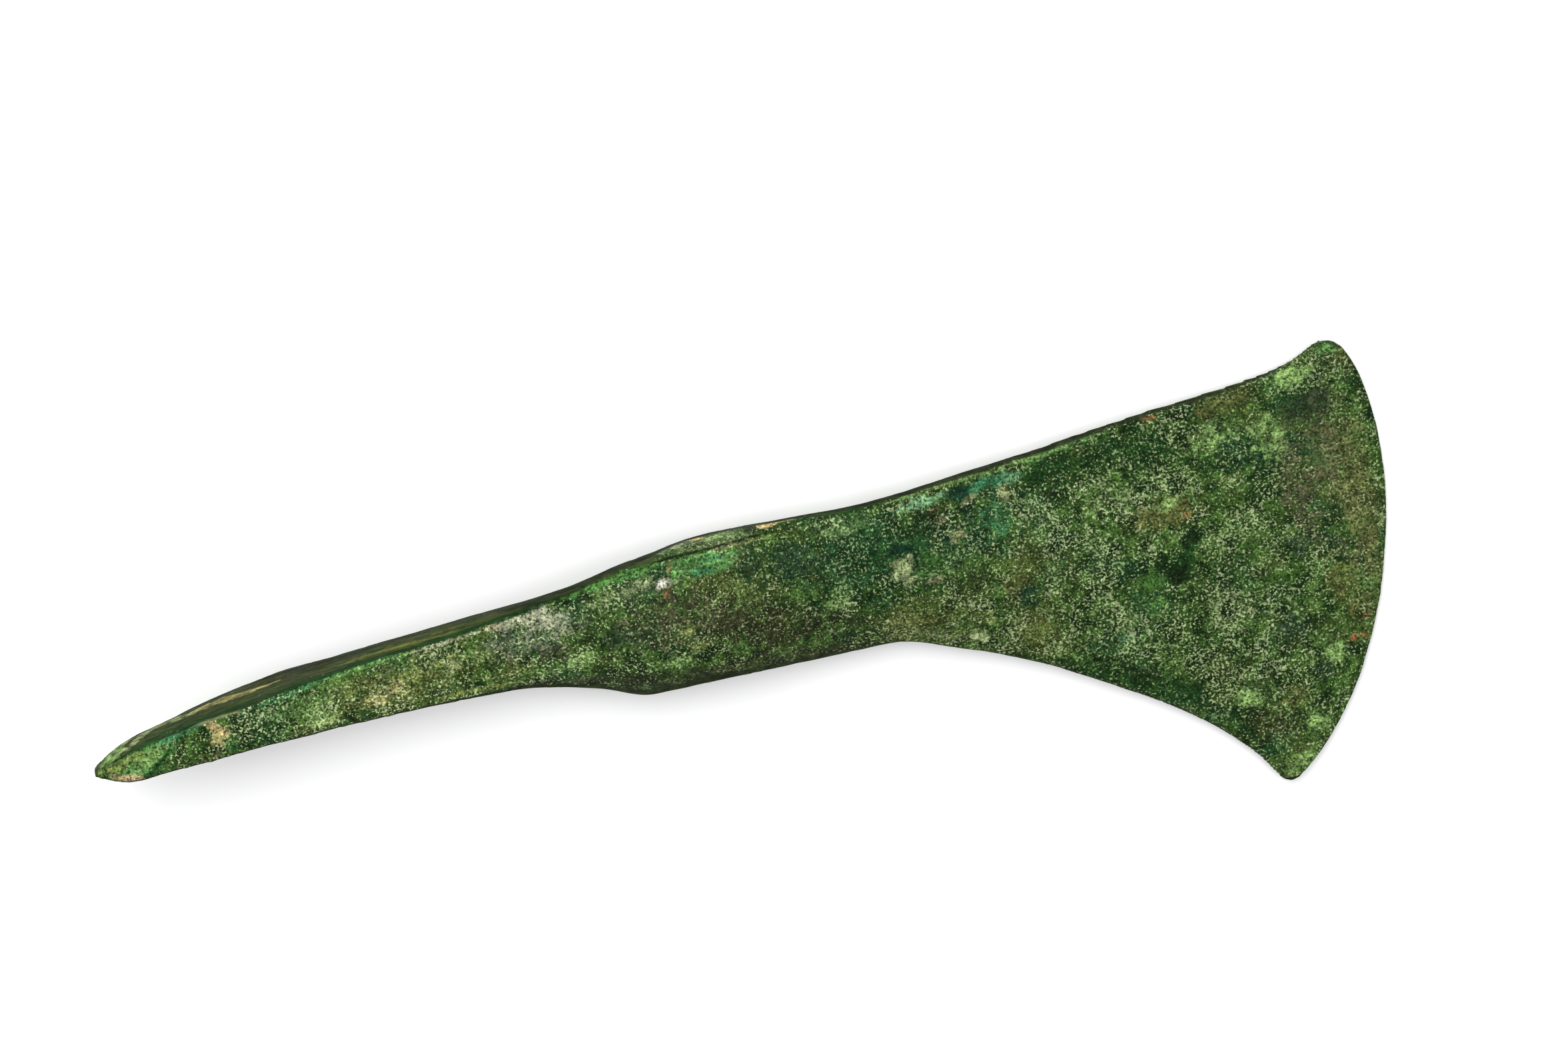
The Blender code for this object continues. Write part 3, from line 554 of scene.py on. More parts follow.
# The patina's shine, and the strength and height in millimetres of its finest bumps
SPECULAR_LEVEL = 0.05
BUMP_STRENGTH = 0.75
BUMP_HEIGHT = 0.09

# The studio: its floor, the strength of its even light, and the camera's sensor in millimetres and
# nearest view in metres
FLOOR_RADIUS = 1.6
FLOOR_SIDES = 96
FLOOR_ROUGHNESS = 0.9
FLOOR_SPECULAR = 0.1
WORLD_STRENGTH = 0.78
SENSOR_WIDTH = 36.0
CLIP_START = 0.01

# A square soft light. direction: the parts of the way to it that run right, up and towards the camera in
# the picture. distance and size are in metres
Softbox = namedtuple("Softbox", "name direction distance size watts")
SOFTBOXES = (
    Softbox("top_softbox", (-0.22, 0.46, 1.0), 1.3, 1.2, 16.0),
    Softbox("side_softbox", (0.7, -0.25, 0.9), 1.5, 1.0, 5.0),
)


def smooth_step(value, low, high):
    """Nothing at the low end, one at the high end, and a smooth rise between. low may be above high."""
    share = np.clip((value - low) / (high - low), 0.0, 1.0)
    return share * share * (3 - 2 * share)


def millimetres(name, words, default, **limits):
    """A setting that is a length on the casting."""
    return bpy.props.FloatProperty(
        name=name, description=words + ", in millimetres", default=default, **limits
    )


def colour_setting(name, words, default):
    """A setting that is a colour."""
    return bpy.props.FloatVectorProperty(name=name, description=words, subtype="COLOR", default=default)


class CorrosionSettings(bpy.types.PropertyGroup):
    """Sizes of the corroded skin."""

    detail_size: millimetres("Detail size", "Distance between the points of the skin", 0.33, min=0.25)
    swell_depth: millimetres("Swell depth", "Unevenness left by casting and hammering", 0.11)
    swell_size: millimetres("Swell size", "Width of that unevenness", 9.0)
    crust_depth: millimetres("Crust depth", "Height of the corrosion crust", 0.11)
    crust_size: millimetres("Crust size", "Width of the crust's islands", 2.6)
    grain_depth: millimetres("Grain depth", "Height of the finest grains that are modelled", 0.045)
    grain_size: millimetres("Grain size", "Width of those grains", 0.85)
    pit_depth: millimetres("Pit depth", "Depth of the deepest corrosion pits", 0.20)
    pit_spacing: millimetres("Pit spacing", "Distance between corrosion pits", 3.4)


class PatinaSettings(bpy.types.PropertyGroup):
    """Colours and finish of the patina."""

    deep_colour: colour_setting("Deep green", "The darkest green, low in the skin", DEEP_GREEN)
    moss_colour: colour_setting("Moss green", "The main green", MOSS_GREEN)
    olive_colour: colour_setting("Olive", "The browner green of broad clouds", OLIVE)
    cool_colour: colour_setting("Blue green", "The cooler green of small clouds", BLUE_GREEN)
    grain_colour: colour_setting("Pale grain", "The pale grains that crust the green", PALE_GRAIN)
    green_grain_colour: colour_setting("Green grain", "The greener ones of those grains", GREEN_GRAIN)
    speck_colour: colour_setting("Dark speck", "The fine dark pores between the grains", NEAR_BLACK)


class StudioSettings(bpy.types.PropertyGroup):
    """Floor, light and camera."""

    face_tilt: bpy.props.FloatProperty(
        name="Face tilt",
        description="How far the broad face is turned away from the camera, about the haft axis",
        subtype="ANGLE",
        default=SEEN_TILT,
    )
    haft_rise: bpy.props.FloatProperty(
        name="Haft rise",
        description="How steeply the haft axis rises across the picture",
        subtype="ANGLE",
        default=math.radians(12.0),
    )
    frame_width: bpy.props.FloatProperty(
        name="Frame width",
        description="Width of the picture where the axe head lies",
        unit="LENGTH",
        default=0.2079,
    )
    focal_length: bpy.props.FloatProperty(
        name="Focal length",
        description="The camera's focal length, in millimetres",
        default=500.0,
    )
    aim: bpy.props.FloatVectorProperty(
        name="Aim",
        description="The place that the camera looks at, in the casting's millimetres",
        default=(96.4, 9.52, 0.0),
    )
    floor_colour: bpy.props.FloatVectorProperty(
        name="Floor colour",
        description="The pale floor",
        subtype="COLOR",
        default=(0.93, 0.93, 0.935),
    )


def haft_place():
    """The casting's own millimetres to the scene's metres."""
    butt = Matrix.Translation(Vector(HAFT_START) * MM)
    return butt @ HAFT_TURN @ Matrix.Scale(MM, 4)


def new_object(name, data):
    """An object with this data, in the scene."""
    made = bpy.data.objects.new(name, data)
    bpy.context.scene.collection.objects.link(made)
    return made


def evaluated_mesh(source):
    """A plain mesh of an object with its modifiers applied."""
    graph = bpy.context.evaluated_depsgraph_get()
    return bpy.data.meshes.new_from_object(source.evaluated_get(graph))


def smooth_form(node, name):
    """The node's form as a temporary object in the casting's millimetres, smoothly subdivided."""
    form = bmesh.new()
    form.from_mesh(node.data)
    form.transform(haft_place().inverted())
    bmesh.ops.remove_doubles(form, verts=form.verts, dist=MERGE_GAP)
    bmesh.ops.join_triangles(
        form,
        faces=form.faces,
        angle_face_threshold=JOIN_ANGLE,
        angle_shape_threshold=JOIN_SHAPE,
    )
    data = bpy.data.meshes.new(name)
    form.to_mesh(data)
    form.free()
    made = new_object(name, data)
    smoothing = made.modifiers.new("Smooth", "SUBSURF")
    smoothing.levels = SMOOTH_LEVELS
    smoothing.render_levels = SMOOTH_LEVELS
    meet_corners(made)
    return made


def meet_corners(form):
    """Move a subdivided form's corners until the smooth form runs through where they were."""
    wanted = point_rows(form.data)
    corners = wanted.copy()
    for _ in range(CORNER_ROUNDS):
        smooth = evaluated_mesh(form)
        reached = point_rows(smooth)[: len(wanted)]
        bpy.data.meshes.remove(smooth)
        corners += CORNER_SHARE * (wanted - reached)
        form.data.vertices.foreach_set("co", corners.ravel())
        form.data.update()


def even_skin(form, spacing):
    """A skin of small, even faces over a smooth form, with each point on the form."""
    smooth = evaluated_mesh(form)
    points = [vertex.co.copy() for vertex in smooth.vertices]
    tree = BVHTree.FromPolygons(points, [tuple(face.vertices) for face in smooth.polygons])
    bpy.data.meshes.remove(smooth)
    remesh = form.modifiers.new("Even faces", "REMESH")
    remesh.mode = "VOXEL"
    remesh.voxel_size = spacing
    skin = evaluated_mesh(form)
    for vertex in skin.vertices:
        vertex.co = tree.find_nearest(vertex.co)[0]
    skin.update()
    return skin


def as_rows(items, name, width, kind):
    """One property of each item, as rows of so many numbers."""
    flat = np.empty(len(items) * width, dtype=kind)
    items.foreach_get(name, flat)
    return flat.reshape(-1, width)


def point_rows(mesh):
    """The mesh's points as rows of three numbers."""
    return as_rows(mesh.vertices, "co", 3, np.float64)


def blurred(values, ends, rounds):
    """The values, each evened out with those of its neighbours so many times."""
    count = len(values)
    share = np.bincount(ends.ravel(), minlength=count) + 1.0
    for _ in range(rounds):
        total = values.copy()
        np.add.at(total, ends[:, 0], values[ends[:, 1]])
        np.add.at(total, ends[:, 1], values[ends[:, 0]])
        values = total / share
    return values


def noise_field(points, size, octaves, offset):
    """Smooth cloudy noise from about -1 to 1 at each point. size: of its largest features."""
    shift = Vector((offset, 1.7 * offset, -0.6 * offset))
    values = np.empty(len(points))
    for index, point in enumerate(points):
        place = Vector(point) / size + shift
        values[index] = noise.fractal(place, NOISE_FALL, NOISE_STEP, octaves)
    return values


def pit_field(points, spacing):
    """Round pits, from 0 outside them to 1 in the middle of the deepest."""
    values = np.zeros(len(points))
    for index, point in enumerate(points):
        gaps, centres = noise.voronoi(Vector(point) / spacing)
        chance = noise.cell(centres[0] * PIT_SCATTER)
        reach = PIT_REACH + PIT_GROWTH * (chance - PITLESS)
        if chance > PITLESS and gaps[0] < reach:
            depth = SHALLOW_PIT + (1 - SHALLOW_PIT) * chance
            values[index] = (1 - (gaps[0] / reach) ** 2) * depth
    return values


def seen_places(points):
    """Where each point is along the haft axis and across it, as the photograph shows it."""
    across = points[:, 1] * math.cos(SEEN_TILT) - points[:, 2] * math.sin(SEEN_TILT)
    return np.column_stack((points[:, 0], across))


def along_haft(places, pairs):
    """The value at each place, from pairs of a place along the haft axis and a value."""
    return np.interp(places[:, 0], *zip(*pairs))


def inside(gap, warp, border):
    """How far each place is within a border, from its gap to the middle."""
    fray, start, full = border
    return smooth_step(gap + fray * warp, start, full)


def oval_gap(places, mark):
    """How far each place is from a mark's middle, as a share of its half sizes."""
    turn = math.radians(mark.turn)
    ahead = places[:, 0] - mark.along
    beside = places[:, 1] - mark.across
    lengthwise = (ahead * math.cos(turn) + beside * math.sin(turn)) / mark.length
    crosswise = (beside * math.cos(turn) - ahead * math.sin(turn)) / mark.width
    return np.hypot(lengthwise, crosswise)


def band_share(places, band, warp):
    """How far each place is in a band, from 0 outside it to 1 in its middle."""
    along, across, half = np.array(band.path, dtype=float).T
    middle = np.interp(places[:, 0], along, across)
    reach = np.interp(places[:, 0], along, half, left=0.0, right=0.0)
    return inside(np.abs(places[:, 1] - middle) / np.maximum(reach, 0.001), warp, BAND_BORDER)


def painted_rim_shade_share(places, warp):
    """How far each place is in the painted shade along the upper and lower edges."""
    cells = np.clip(places[:, 0], 0, EDGE).astype(int)
    top = np.full(int(EDGE) + 1, -np.inf)
    bottom = np.full(int(EDGE) + 1, np.inf)
    np.maximum.at(top, cells, places[:, 1])
    np.minimum.at(bottom, cells, places[:, 1])
    filled = np.isfinite(top)
    middles = np.arange(len(top))[filled] + 0.5
    below_top = np.interp(places[:, 0], middles, top[filled]) - places[:, 1]
    above_bottom = places[:, 1] - np.interp(places[:, 0], middles, bottom[filled])
    upper = along_haft(places, UPPER_PAINTED_SHADE)
    lower = along_haft(places, LOWER_PAINTED_SHADE)
    return inside(np.minimum(below_top / upper, above_bottom / lower), warp, PAINTED_RIM_SHADE_BORDER)


def mark_rise(places, mark, warp):
    """How far a mark moves the skin outwards, in millimetres."""
    gap = oval_gap(places, mark)
    round_gap = gap + ROUND_FRAY * warp
    if mark.form == "dome":
        return mark.rise * np.sqrt(np.clip(1 - round_gap**2, 0.0, 1.0))
    if mark.form == "ring":
        return mark.rise * smooth_step(np.abs(round_gap - RING_MIDDLE), RING_REACH, 0.0)
    return mark.rise * inside(gap, warp, MARK_BORDERS[mark.form])


def skin_relief(settings, fields):
    """How far the corrosion moves each point of the skin outwards, in millimetres."""
    crust = smooth_step(fields["crust"], *CRUST_SPAN) - CRUST_MIDDLE
    flank = fields["flank"]
    quiet = 1 - EDGE_LOSS * fields["edge band"]
    relief = settings.swell_depth * fields["swell"]
    relief += settings.crust_depth * quiet * (1 - FLANK_CRUST_LOSS * flank) * crust
    grain = fields["grain"] - GRAIN_MIDDLE
    relief += settings.grain_depth * quiet * (1 - FLANK_GRAIN_LOSS * flank) * grain
    relief -= settings.pit_depth * quiet * fields["pits"]
    relief -= STREAK_DEPTH * flank * smooth_step(fields["streaks"], *STREAK_SPAN)
    relief += TIP_RISE * fields["tip"] + BUTT_RISE * fields["butt"]
    for mark in MARKS:
        relief += fields["facing"] * mark_rise(fields["seen"], mark, fields["warp"])
    for band in BANDS:
        relief += band.rise * fields["facing"] * band_share(fields["seen"], band, fields["warp"])
    return relief


def skin_fields(points, normals, settings):
    """The noises and shares that the relief and the stains are made from."""
    stretched = points * np.array((STREAK_STRETCH, 1.0, 1.0))
    flank = smooth_step(np.abs(normals[:, 2]), *FLANK_TURN) * smooth_step(points[:, 0], *FLANK_END)
    seen = seen_places(points)
    along, across, _ = np.array(SIDE_LINE, dtype=float).T
    beyond = smooth_step(seen[:, 1] - np.interp(points[:, 0], along, across), 0.0, 0.5)
    flank = np.maximum(flank, beyond * smooth_step(points[:, 0], along[-1], along[-1] - 6.0))
    towards = np.array((0.0, math.sin(SEEN_TILT), math.cos(SEEN_TILT)))
    return {
        "swell": noise_field(points, settings.swell_size, 2, 3.1),
        "crust": noise_field(points, settings.crust_size, 4, 11.3),
        "grain": noise_field(points, settings.grain_size, 2, 5.9),
        "warp": 0.6 * noise_field(points, 2.8, 3, 61.3) + 0.8 * noise_field(points, 1.1, 2, 23.7),
        "patches": noise_field(points, 7.0, 3, 41.2),
        "streaks": noise_field(stretched, 0.9, 3, 17.9),
        "pits": pit_field(points, settings.pit_spacing),
        "flank": flank,
        "seen": seen,
        "facing": smooth_step(normals @ towards, *SEEN_TURN),
        "under": smooth_step(-normals[:, 2], *UNDER_TURN),
        "edge band": smooth_step(points[:, 0], BEVEL, BEVEL + EDGE_BAND_WIDTH),
        "tip": smooth_step(-normals[:, 0], 0.3, 0.9) * smooth_step(points[:, 0], TIP_END, 0.0),
        "butt": smooth_step(normals[:, 1], 0.1, 0.7)
        * smooth_step(np.abs(points[:, 0] - BUTT_MIDDLE), BUTT_REACH, 0.0),
    }


def underside_stains():
    """Soft stains freely placed on the underside."""
    chooser = random.Random(UNDERSIDE_SEED)
    stains = []
    for _ in range(UNDERSIDE_STAIN_COUNT):
        along = chooser.uniform(4, EDGE - 4)
        reach = 4 if along < TANG_END else 8 + 22 * max(along - WAIST, 0) / (EDGE - WAIST)
        stains.append(
            Stain(
                along,
                chooser.uniform(-reach, 0.6 * reach),
                chooser.uniform(*UNDERSIDE_LENGTHS),
                chooser.uniform(UNDERSIDE_THINNEST, 0.6 * reach),
                chooser.uniform(*UNDERSIDE_TURNS),
                chooser.choice(UNDERSIDE_COLOURS),
                chooser.uniform(*UNDERSIDE_COVERS),
                chooser.uniform(*UNDERSIDE_GRAINS),
            )
        )
    return stains


def lay(item, amount, layers):
    """Lay a stain's, a band's or a coat's colour, cover and grains over those kept for each point."""
    colour, cover, grains = layers
    laid = amount * item.cover
    total = laid + cover * (1 - laid)
    weight = np.where(total > TINY, laid / np.maximum(total, TINY), 0.0)
    colour += weight[:, None] * (np.array(item.colour) - colour)
    cover[:] = total
    grains *= 1 - amount + amount * item.grains


def lay_stains(places, stains, share, warp, layers):
    """Lay stains one after another."""
    for stain in stains:
        lay(stain, share * inside(oval_gap(places, stain), warp, STAIN_BORDER), layers)


def stain_skin(mesh, points, fields):
    """Keep what the shader needs to know at each point as attributes of the skin."""
    count = len(points)
    grains = along_haft(points, GRAIN_AMOUNTS) + PATCHINESS * fields["patches"]
    layers = (np.tile(np.array(MOSS_GREEN), (count, 1)), np.zeros(count), grains)
    seen, warp, facing = fields["seen"], fields["warp"], fields["facing"]
    lug = smooth_step(points[:, 0], LUG_START - 2, LUG_START + 2)
    lug *= smooth_step(points[:, 0], LUG_END + 4, LUG_END)
    side = fields["flank"] * smooth_step(points[:, 0], TANG_END + 12, TANG_END + 4)
    # Painted shade along the upper and lower edges, where the rounded edges turn away from the light
    painted_border_shade = painted_rim_shade_share(seen, warp) * facing
    lay_stains(seen, FACE_STAINS, facing * (1 - side), warp, layers)
    lay_stains(seen, SIDE_STAINS, facing * side, warp, layers)
    grains *= 1 - FLANK_BARENESS * fields["flank"] * (1 - lug)
    for band in BANDS:
        lay(band, facing * band_share(seen, band, warp), layers)
    lay_stains(seen, LUG_STAINS, facing * lug, warp, layers)
    lay(PAINTED_RIM_SHADE_COAT, painted_border_shade, layers)
    lay_stains(points, underside_stains(), fields["under"], warp, layers)
    # The stains' colour, which also holds the painted shade along the edges and the painted highlights,
    # kept with its cover
    keep_colour(mesh, "stain", layers[0], layers[1])
    keep_values(mesh, "grains", np.clip(grains, 0.0, MOST_GRAINS))
    keep_values(mesh, "paleness", along_haft(points, PALENESS))
    keep_values(mesh, "crust", smooth_step(fields["crust"], -0.5, 0.6))
    # The narrow sides, and the painted shade along the edges, take the sides' darker streaked colour
    keep_values(mesh, "flank", np.maximum(fields["flank"] * (1 - 0.8 * lug), 0.8 * painted_border_shade))


def keep_values(mesh, name, values):
    """Store one number for each point of the mesh."""
    layer = mesh.attributes.new(name, "FLOAT", "POINT")
    layer.data.foreach_set("value", values.astype(np.float32))


def keep_colour(mesh, name, colour, cover):
    """Store a colour for each point of the mesh, with how much it covers."""
    layer = mesh.attributes.new(name, "FLOAT_COLOR", "POINT")
    layer.data.foreach_set("color", np.column_stack((colour, cover)).astype(np.float32).ravel())


def keep_in_box(points, box):
    """Points pressed back into the solid's own box."""
    return np.clip(points, np.array(box[0]), np.array(box[1]))


def corroded_skin(node, settings):
    """The node's form with its corrosion: a mesh in the scene's metres, with its stains."""
    form = smooth_form(node, "smooth_form")
    mesh = even_skin(form, settings.detail_size)
    form_data = form.data
    bpy.data.objects.remove(form, do_unlink=True)
    bpy.data.meshes.remove(form_data)
    points = point_rows(mesh)
    normals = as_rows(mesh.vertex_normals, "vector", 3, np.float32).astype(np.float64)
    ends = as_rows(mesh.edges, "vertices", 2, np.int64)
    fields = skin_fields(points, normals, settings)
    relief = skin_relief(settings, fields)
    stain_skin(mesh, points, fields)
    height = relief - blurred(relief, ends, HEIGHT_ROUNDS)
    height *= 1 - FLANK_HEIGHT_LOSS * fields["flank"]
    # How high each point stands over the skin around it; the shader darkens the low places and lightens the
    # high ones, partly as painted shade
    keep_values(mesh, "high", np.clip(0.5 + height / HEIGHT_RANGE, 0.0, 1.0))
    moved = points + normals * relief[:, None]
    place = np.array(haft_place())
    world = moved @ place[:3, :3].T + place[:3, 3]
    world = keep_in_box(world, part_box(node.name))
    mesh.vertices.foreach_set("co", world.ravel())
    mesh.shade_smooth()
    mesh.update()
    return mesh


class Wiring:
    """Short ways to add and join the nodes of one material."""

    def __init__(self, tree):
        self.tree = tree
        self.nodes = tree.nodes
        self.column = 0

    def add(self, kind, **values):
        node = self.nodes.new(kind)
        self.column += 1
        node.location = (180 * (self.column % 12) - 2400, -260 * (self.column // 12))
        for name, value in values.items():
            setattr(node, name, value)
        return node

    def join(self, source, target):
        self.tree.links.new(source, target)

    def feed(self, socket, value):
        """Give a socket another node's output, or a plain value."""
        if isinstance(value, bpy.types.NodeSocket):
            self.join(value, socket)
        else:
            socket.default_value = value

    def attribute(self, name):
        return self.add("ShaderNodeAttribute", attribute_name=name)

    def kept(self, name):
        """The number kept under that name for each point of the skin."""
        return self.attribute(name).outputs["Fac"]

    def noise(self, place, size, detail=4.0, roughness=0.55, distortion=0.0):
        """Noise with features of that size, in the units of the place."""
        node = self.add("ShaderNodeTexNoise", noise_dimensions="3D")
        self.join(place, node.inputs["Vector"])
        node.inputs["Scale"].default_value = 1 / size
        node.inputs["Detail"].default_value = detail
        node.inputs["Roughness"].default_value = roughness
        node.inputs["Distortion"].default_value = distortion
        return node.outputs["Fac"]

    def spread(self, value, low, high, start=0.0, end=1.0):
        """The value, from start at the low end to end at the high end, smoothly and no further."""
        node = self.add("ShaderNodeMapRange", interpolation_type="SMOOTHSTEP", clamp=True)
        self.feed(node.inputs["Value"], value)
        for name, given in (("From Min", low), ("From Max", high), ("To Min", start), ("To Max", end)):
            self.feed(node.inputs[name], given)
        return node.outputs["Result"]

    def math(self, operation, first, second=0.0):
        node = self.add("ShaderNodeMath", operation=operation)
        for socket, value in zip(node.inputs, (first, second)):
            self.feed(socket, value)
        return node.outputs["Value"]

    def times(self, first, second):
        return self.math("MULTIPLY", first, second)

    def plus(self, first, second):
        return self.math("ADD", first, second)

    def blend(self, share, under, over, mode="MIX"):
        """The colour below, covered by the colour over it in that share."""
        node = self.add("ShaderNodeMix", data_type="RGBA", blend_type=mode)
        self.feed(node.inputs["Factor"], share)
        for socket, value in ((node.inputs[6], under), (node.inputs[7], over)):
            if isinstance(value, bpy.types.NodeSocket):
                self.join(value, socket)
            else:
                socket.default_value = (*value, 1.0)
        return node.outputs[2]

    def place(self, scale=(1.0, 1.0, 1.0), shift=(0.0, 0.0, 0.0)):
        """The surface's own place in millimetres, stretched and shifted."""
        coordinates = self.add("ShaderNodeTexCoord")
        mapping = self.add("ShaderNodeMapping")
        self.join(coordinates.outputs["Object"], mapping.inputs["Vector"])
        mapping.inputs["Scale"].default_value = [1000 * share for share in scale]
        mapping.inputs["Location"].default_value = shift
        return mapping.outputs["Vector"]


def green_ground(wires, place, settings):
    """The greens below the grains: deep and moss blotches, olive clouds and cooler patches."""
    blotch = wires.noise(place, 1.8, 6.0, 0.64, 0.5)
    crust = wires.kept("crust")
    depth = wires.plus(blotch, wires.times(wires.math("SUBTRACT", crust, 0.5), 0.16))
    ground = wires.blend(wires.spread(depth, 0.30, 0.68), settings.deep_colour, settings.moss_colour)
    cloud = wires.noise(place, 12.0, 4.0, 0.6)
    ground = wires.blend(wires.spread(cloud, 0.48, 0.70, 0.0, 0.5), ground, settings.olive_colour)
    cool = wires.noise(wires.place(shift=(40.0, 12.0, 5.0)), 8.0, 5.0, 0.6)
    ground = wires.blend(wires.spread(cool, 0.5, 0.7, 0.0, 0.5), ground, settings.cool_colour)
    zones = wires.noise(wires.place(shift=(7.0, 31.0, 19.0)), 6.0, 3.0, 0.5)
    return wires.blend(1.0, ground, wires.spread(zones, 0.32, 0.68, 0.76, 1.20), "MULTIPLY")


def flank_ground(wires, ground, settings):
    """The narrow sides: smoother, streaked along the haft axis, and dark, partly their patina and partly
    painted shade.
    """
    flank = wires.kept("flank")
    streaks = wires.noise(wires.place(scale=(0.07, 1.0, 1.0)), 0.55, 5.0, 0.7, 0.3)
    side = wires.blend(wires.spread(streaks, 0.38, 0.62), FLANK_GREEN_AND_SHADE, FLANK_OLIVE_AND_SHADE)
    return wires.blend(wires.times(flank, 0.9), ground, side), flank, streaks


def stain_layer(wires, place, streaks, flank):
    """The stains' colour, mottled, and how much they cover, with frayed borders; the painted shade and
    highlights are laid among them.
    """
    stain = wires.attribute("stain")
    fray = wires.noise(place, 1.1, 5.0, 0.75)
    cover = wires.plus(stain.outputs["Alpha"], wires.spread(fray, 0.28, 0.72, -0.34, 0.34))
    cover = wires.times(wires.spread(cover, 0.10, 0.95), 0.92)
    shade = wires.noise(place, 1.4, 5.0, 0.7)
    mottle = wires.spread(shade, 0.3, 0.7, 0.40, 1.35)
    streaky = wires.spread(streaks, 0.36, 0.66, 0.45, 1.35)
    tone = wires.blend(flank, mottle, streaky)
    return wires.blend(1.0, stain.outputs["Color"], tone, "MULTIPLY"), cover


def winding_grains(wires, place, density):
    """Pale grains in short curls and dots: their mask, how near a curl is, and the fine dots."""
    winding = wires.noise(place, 0.80, 1.5, 0.5, 0.6)
    ridge = wires.math("ABSOLUTE", wires.math("SUBTRACT", winding, 0.5))
    width = wires.spread(density, 0.15, 1.3, -0.02, 0.060)
    curls = wires.spread(ridge, width, wires.plus(width, 0.022), 1.0, 0.0)
    dots = wires.noise(place, 0.32, 1.0, 0.5)
    curls = wires.times(curls, wires.spread(dots, 0.48, 0.58))
    loose_edge = wires.spread(density, 0.0, 1.2, 0.62, 0.55)
    loose = wires.spread(dots, loose_edge, wires.plus(loose_edge, 0.04))
    crumbs = wires.noise(place, 0.58, 1.5, 0.5, 0.3)
    crumb_edge = wires.spread(density, 0.1, 1.3, 0.72, 0.58)
    crumbs = wires.spread(crumbs, crumb_edge, wires.plus(crumb_edge, 0.05))
    grains = wires.math("MAXIMUM", curls, wires.times(loose, 0.9))
    grains = wires.math("MAXIMUM", grains, wires.times(crumbs, 0.8))
    grains = wires.times(grains, wires.spread(density, 0.02, 0.20))
    return grains, wires.spread(ridge, 0.02, 0.13, 1.0, 0.0), dots


def add_sheen(wires, shader, place, rough):
    """A dull sheen, duller on the grains and the narrow sides."""
    sheen = wires.spread(wires.noise(place, 5.0, 4.0, 0.6), 0.3, 0.7, 0.46, 0.66)
    wires.join(wires.plus(sheen, wires.times(rough, 0.16)), shader.inputs["Roughness"])
    shader.inputs["Specular IOR Level"].default_value = SPECULAR_LEVEL


def add_bumps(wires, shader, parts):
    """Raised grains and sunk pores, too fine to be modelled. parts: the grains, pores, curls and dots."""
    grains, pores, nearness, dots = parts
    height = wires.math("SUBTRACT", grains, wires.times(pores, 0.8))
    for part in (nearness, dots):
        height = wires.plus(height, wires.times(part, 0.7))
    bump = wires.add("ShaderNodeBump")
    bump.inputs["Strength"].default_value = BUMP_STRENGTH
    bump.inputs["Distance"].default_value = BUMP_HEIGHT * MM
    wires.join(height, bump.inputs["Height"])
    wires.join(bump.outputs["Normal"], shader.inputs["Normal"])


def patina_material(settings):
    """Green patina: mottled greens, stains, pale winding grains, dark pores and a dull sheen, with painted
    shade and highlights among the stains, beside the grains and in the skin's low places.
    """
    material = bpy.data.materials.new("green_patina")
    material.use_nodes = True
    wires = Wiring(material.node_tree)
    shader = wires.nodes["Principled BSDF"]
    place = wires.place()
    ground = green_ground(wires, place, settings)
    ground, flank, streaks = flank_ground(wires, ground, settings)
    stain, cover = stain_layer(wires, place, streaks, flank)
    ground = wires.blend(cover, ground, stain)
    patches = wires.noise(place, 4.2, 5.0, 0.62)
    grain_share = wires.kept("grains")
    density = wires.times(grain_share, wires.spread(patches, 0.38, 0.62, 0.25, 1.30))
    grains, nearness, dots = winding_grains(wires, place, density)
    broad_face = wires.math("SUBTRACT", 1.0, wires.times(flank, 0.9))
    # Painted shade on the ground beside the raised curls, and a random fine tone from the dots
    fine_tone_and_grain_shade = wires.spread(nearness, 0.0, 1.0, 0.76, 1.06)
    fine_tone_and_grain_shade = wires.times(fine_tone_and_grain_shade, wires.spread(dots, 0.32, 0.62, 0.62, 1.22))
    fine_tone_and_grain_shade = wires.blend(broad_face, (1.0, 1.0, 1.0), fine_tone_and_grain_shade)
    ground = wires.blend(1.0, ground, fine_tone_and_grain_shade, "MULTIPLY")
    grain_hue = wires.noise(place, 3.0, 3.0, 0.6)
    paleness = wires.plus(wires.kept("paleness"), wires.spread(grain_hue, 0.3, 0.7, -0.25, 0.25))
    grain_tone = wires.blend(paleness, settings.green_grain_colour, settings.grain_colour)
    bright_stain = wires.blend(1.0, stain, (1.8, 1.7, 1.7), "MULTIPLY")
    grain_tone = wires.blend(wires.times(cover, 0.4), grain_tone, bright_stain)
    shade = wires.spread(wires.noise(place, 0.62, 2.0, 0.6), 0.38, 0.60, 0.35, 0.95)
    colour = wires.blend(wires.times(grains, shade), ground, grain_tone)
    pores = wires.noise(place, 0.34, 2.0, 0.55)
    bare = wires.times(wires.math("SUBTRACT", 1.0, grains), broad_face)
    pore_share = wires.times(wires.spread(pores, 0.54, 0.62), bare)
    colour = wires.blend(wires.times(pore_share, 0.8), colour, settings.speck_colour)
    # Lower places darker and higher ones lighter: partly patina lying in the hollows, partly painted shade
    # in them and painted light on the crests
    high = wires.kept("high")
    colour = wires.blend(1.0, colour, wires.spread(high, 0.1, 0.9, 0.72, 1.24), "MULTIPLY")
    wires.join(colour, shader.inputs["Base Color"])
    add_sheen(wires, shader, place, wires.math("MAXIMUM", grains, flank))
    add_bumps(wires, shader, (grains, pore_share, nearness, dots))
    return material


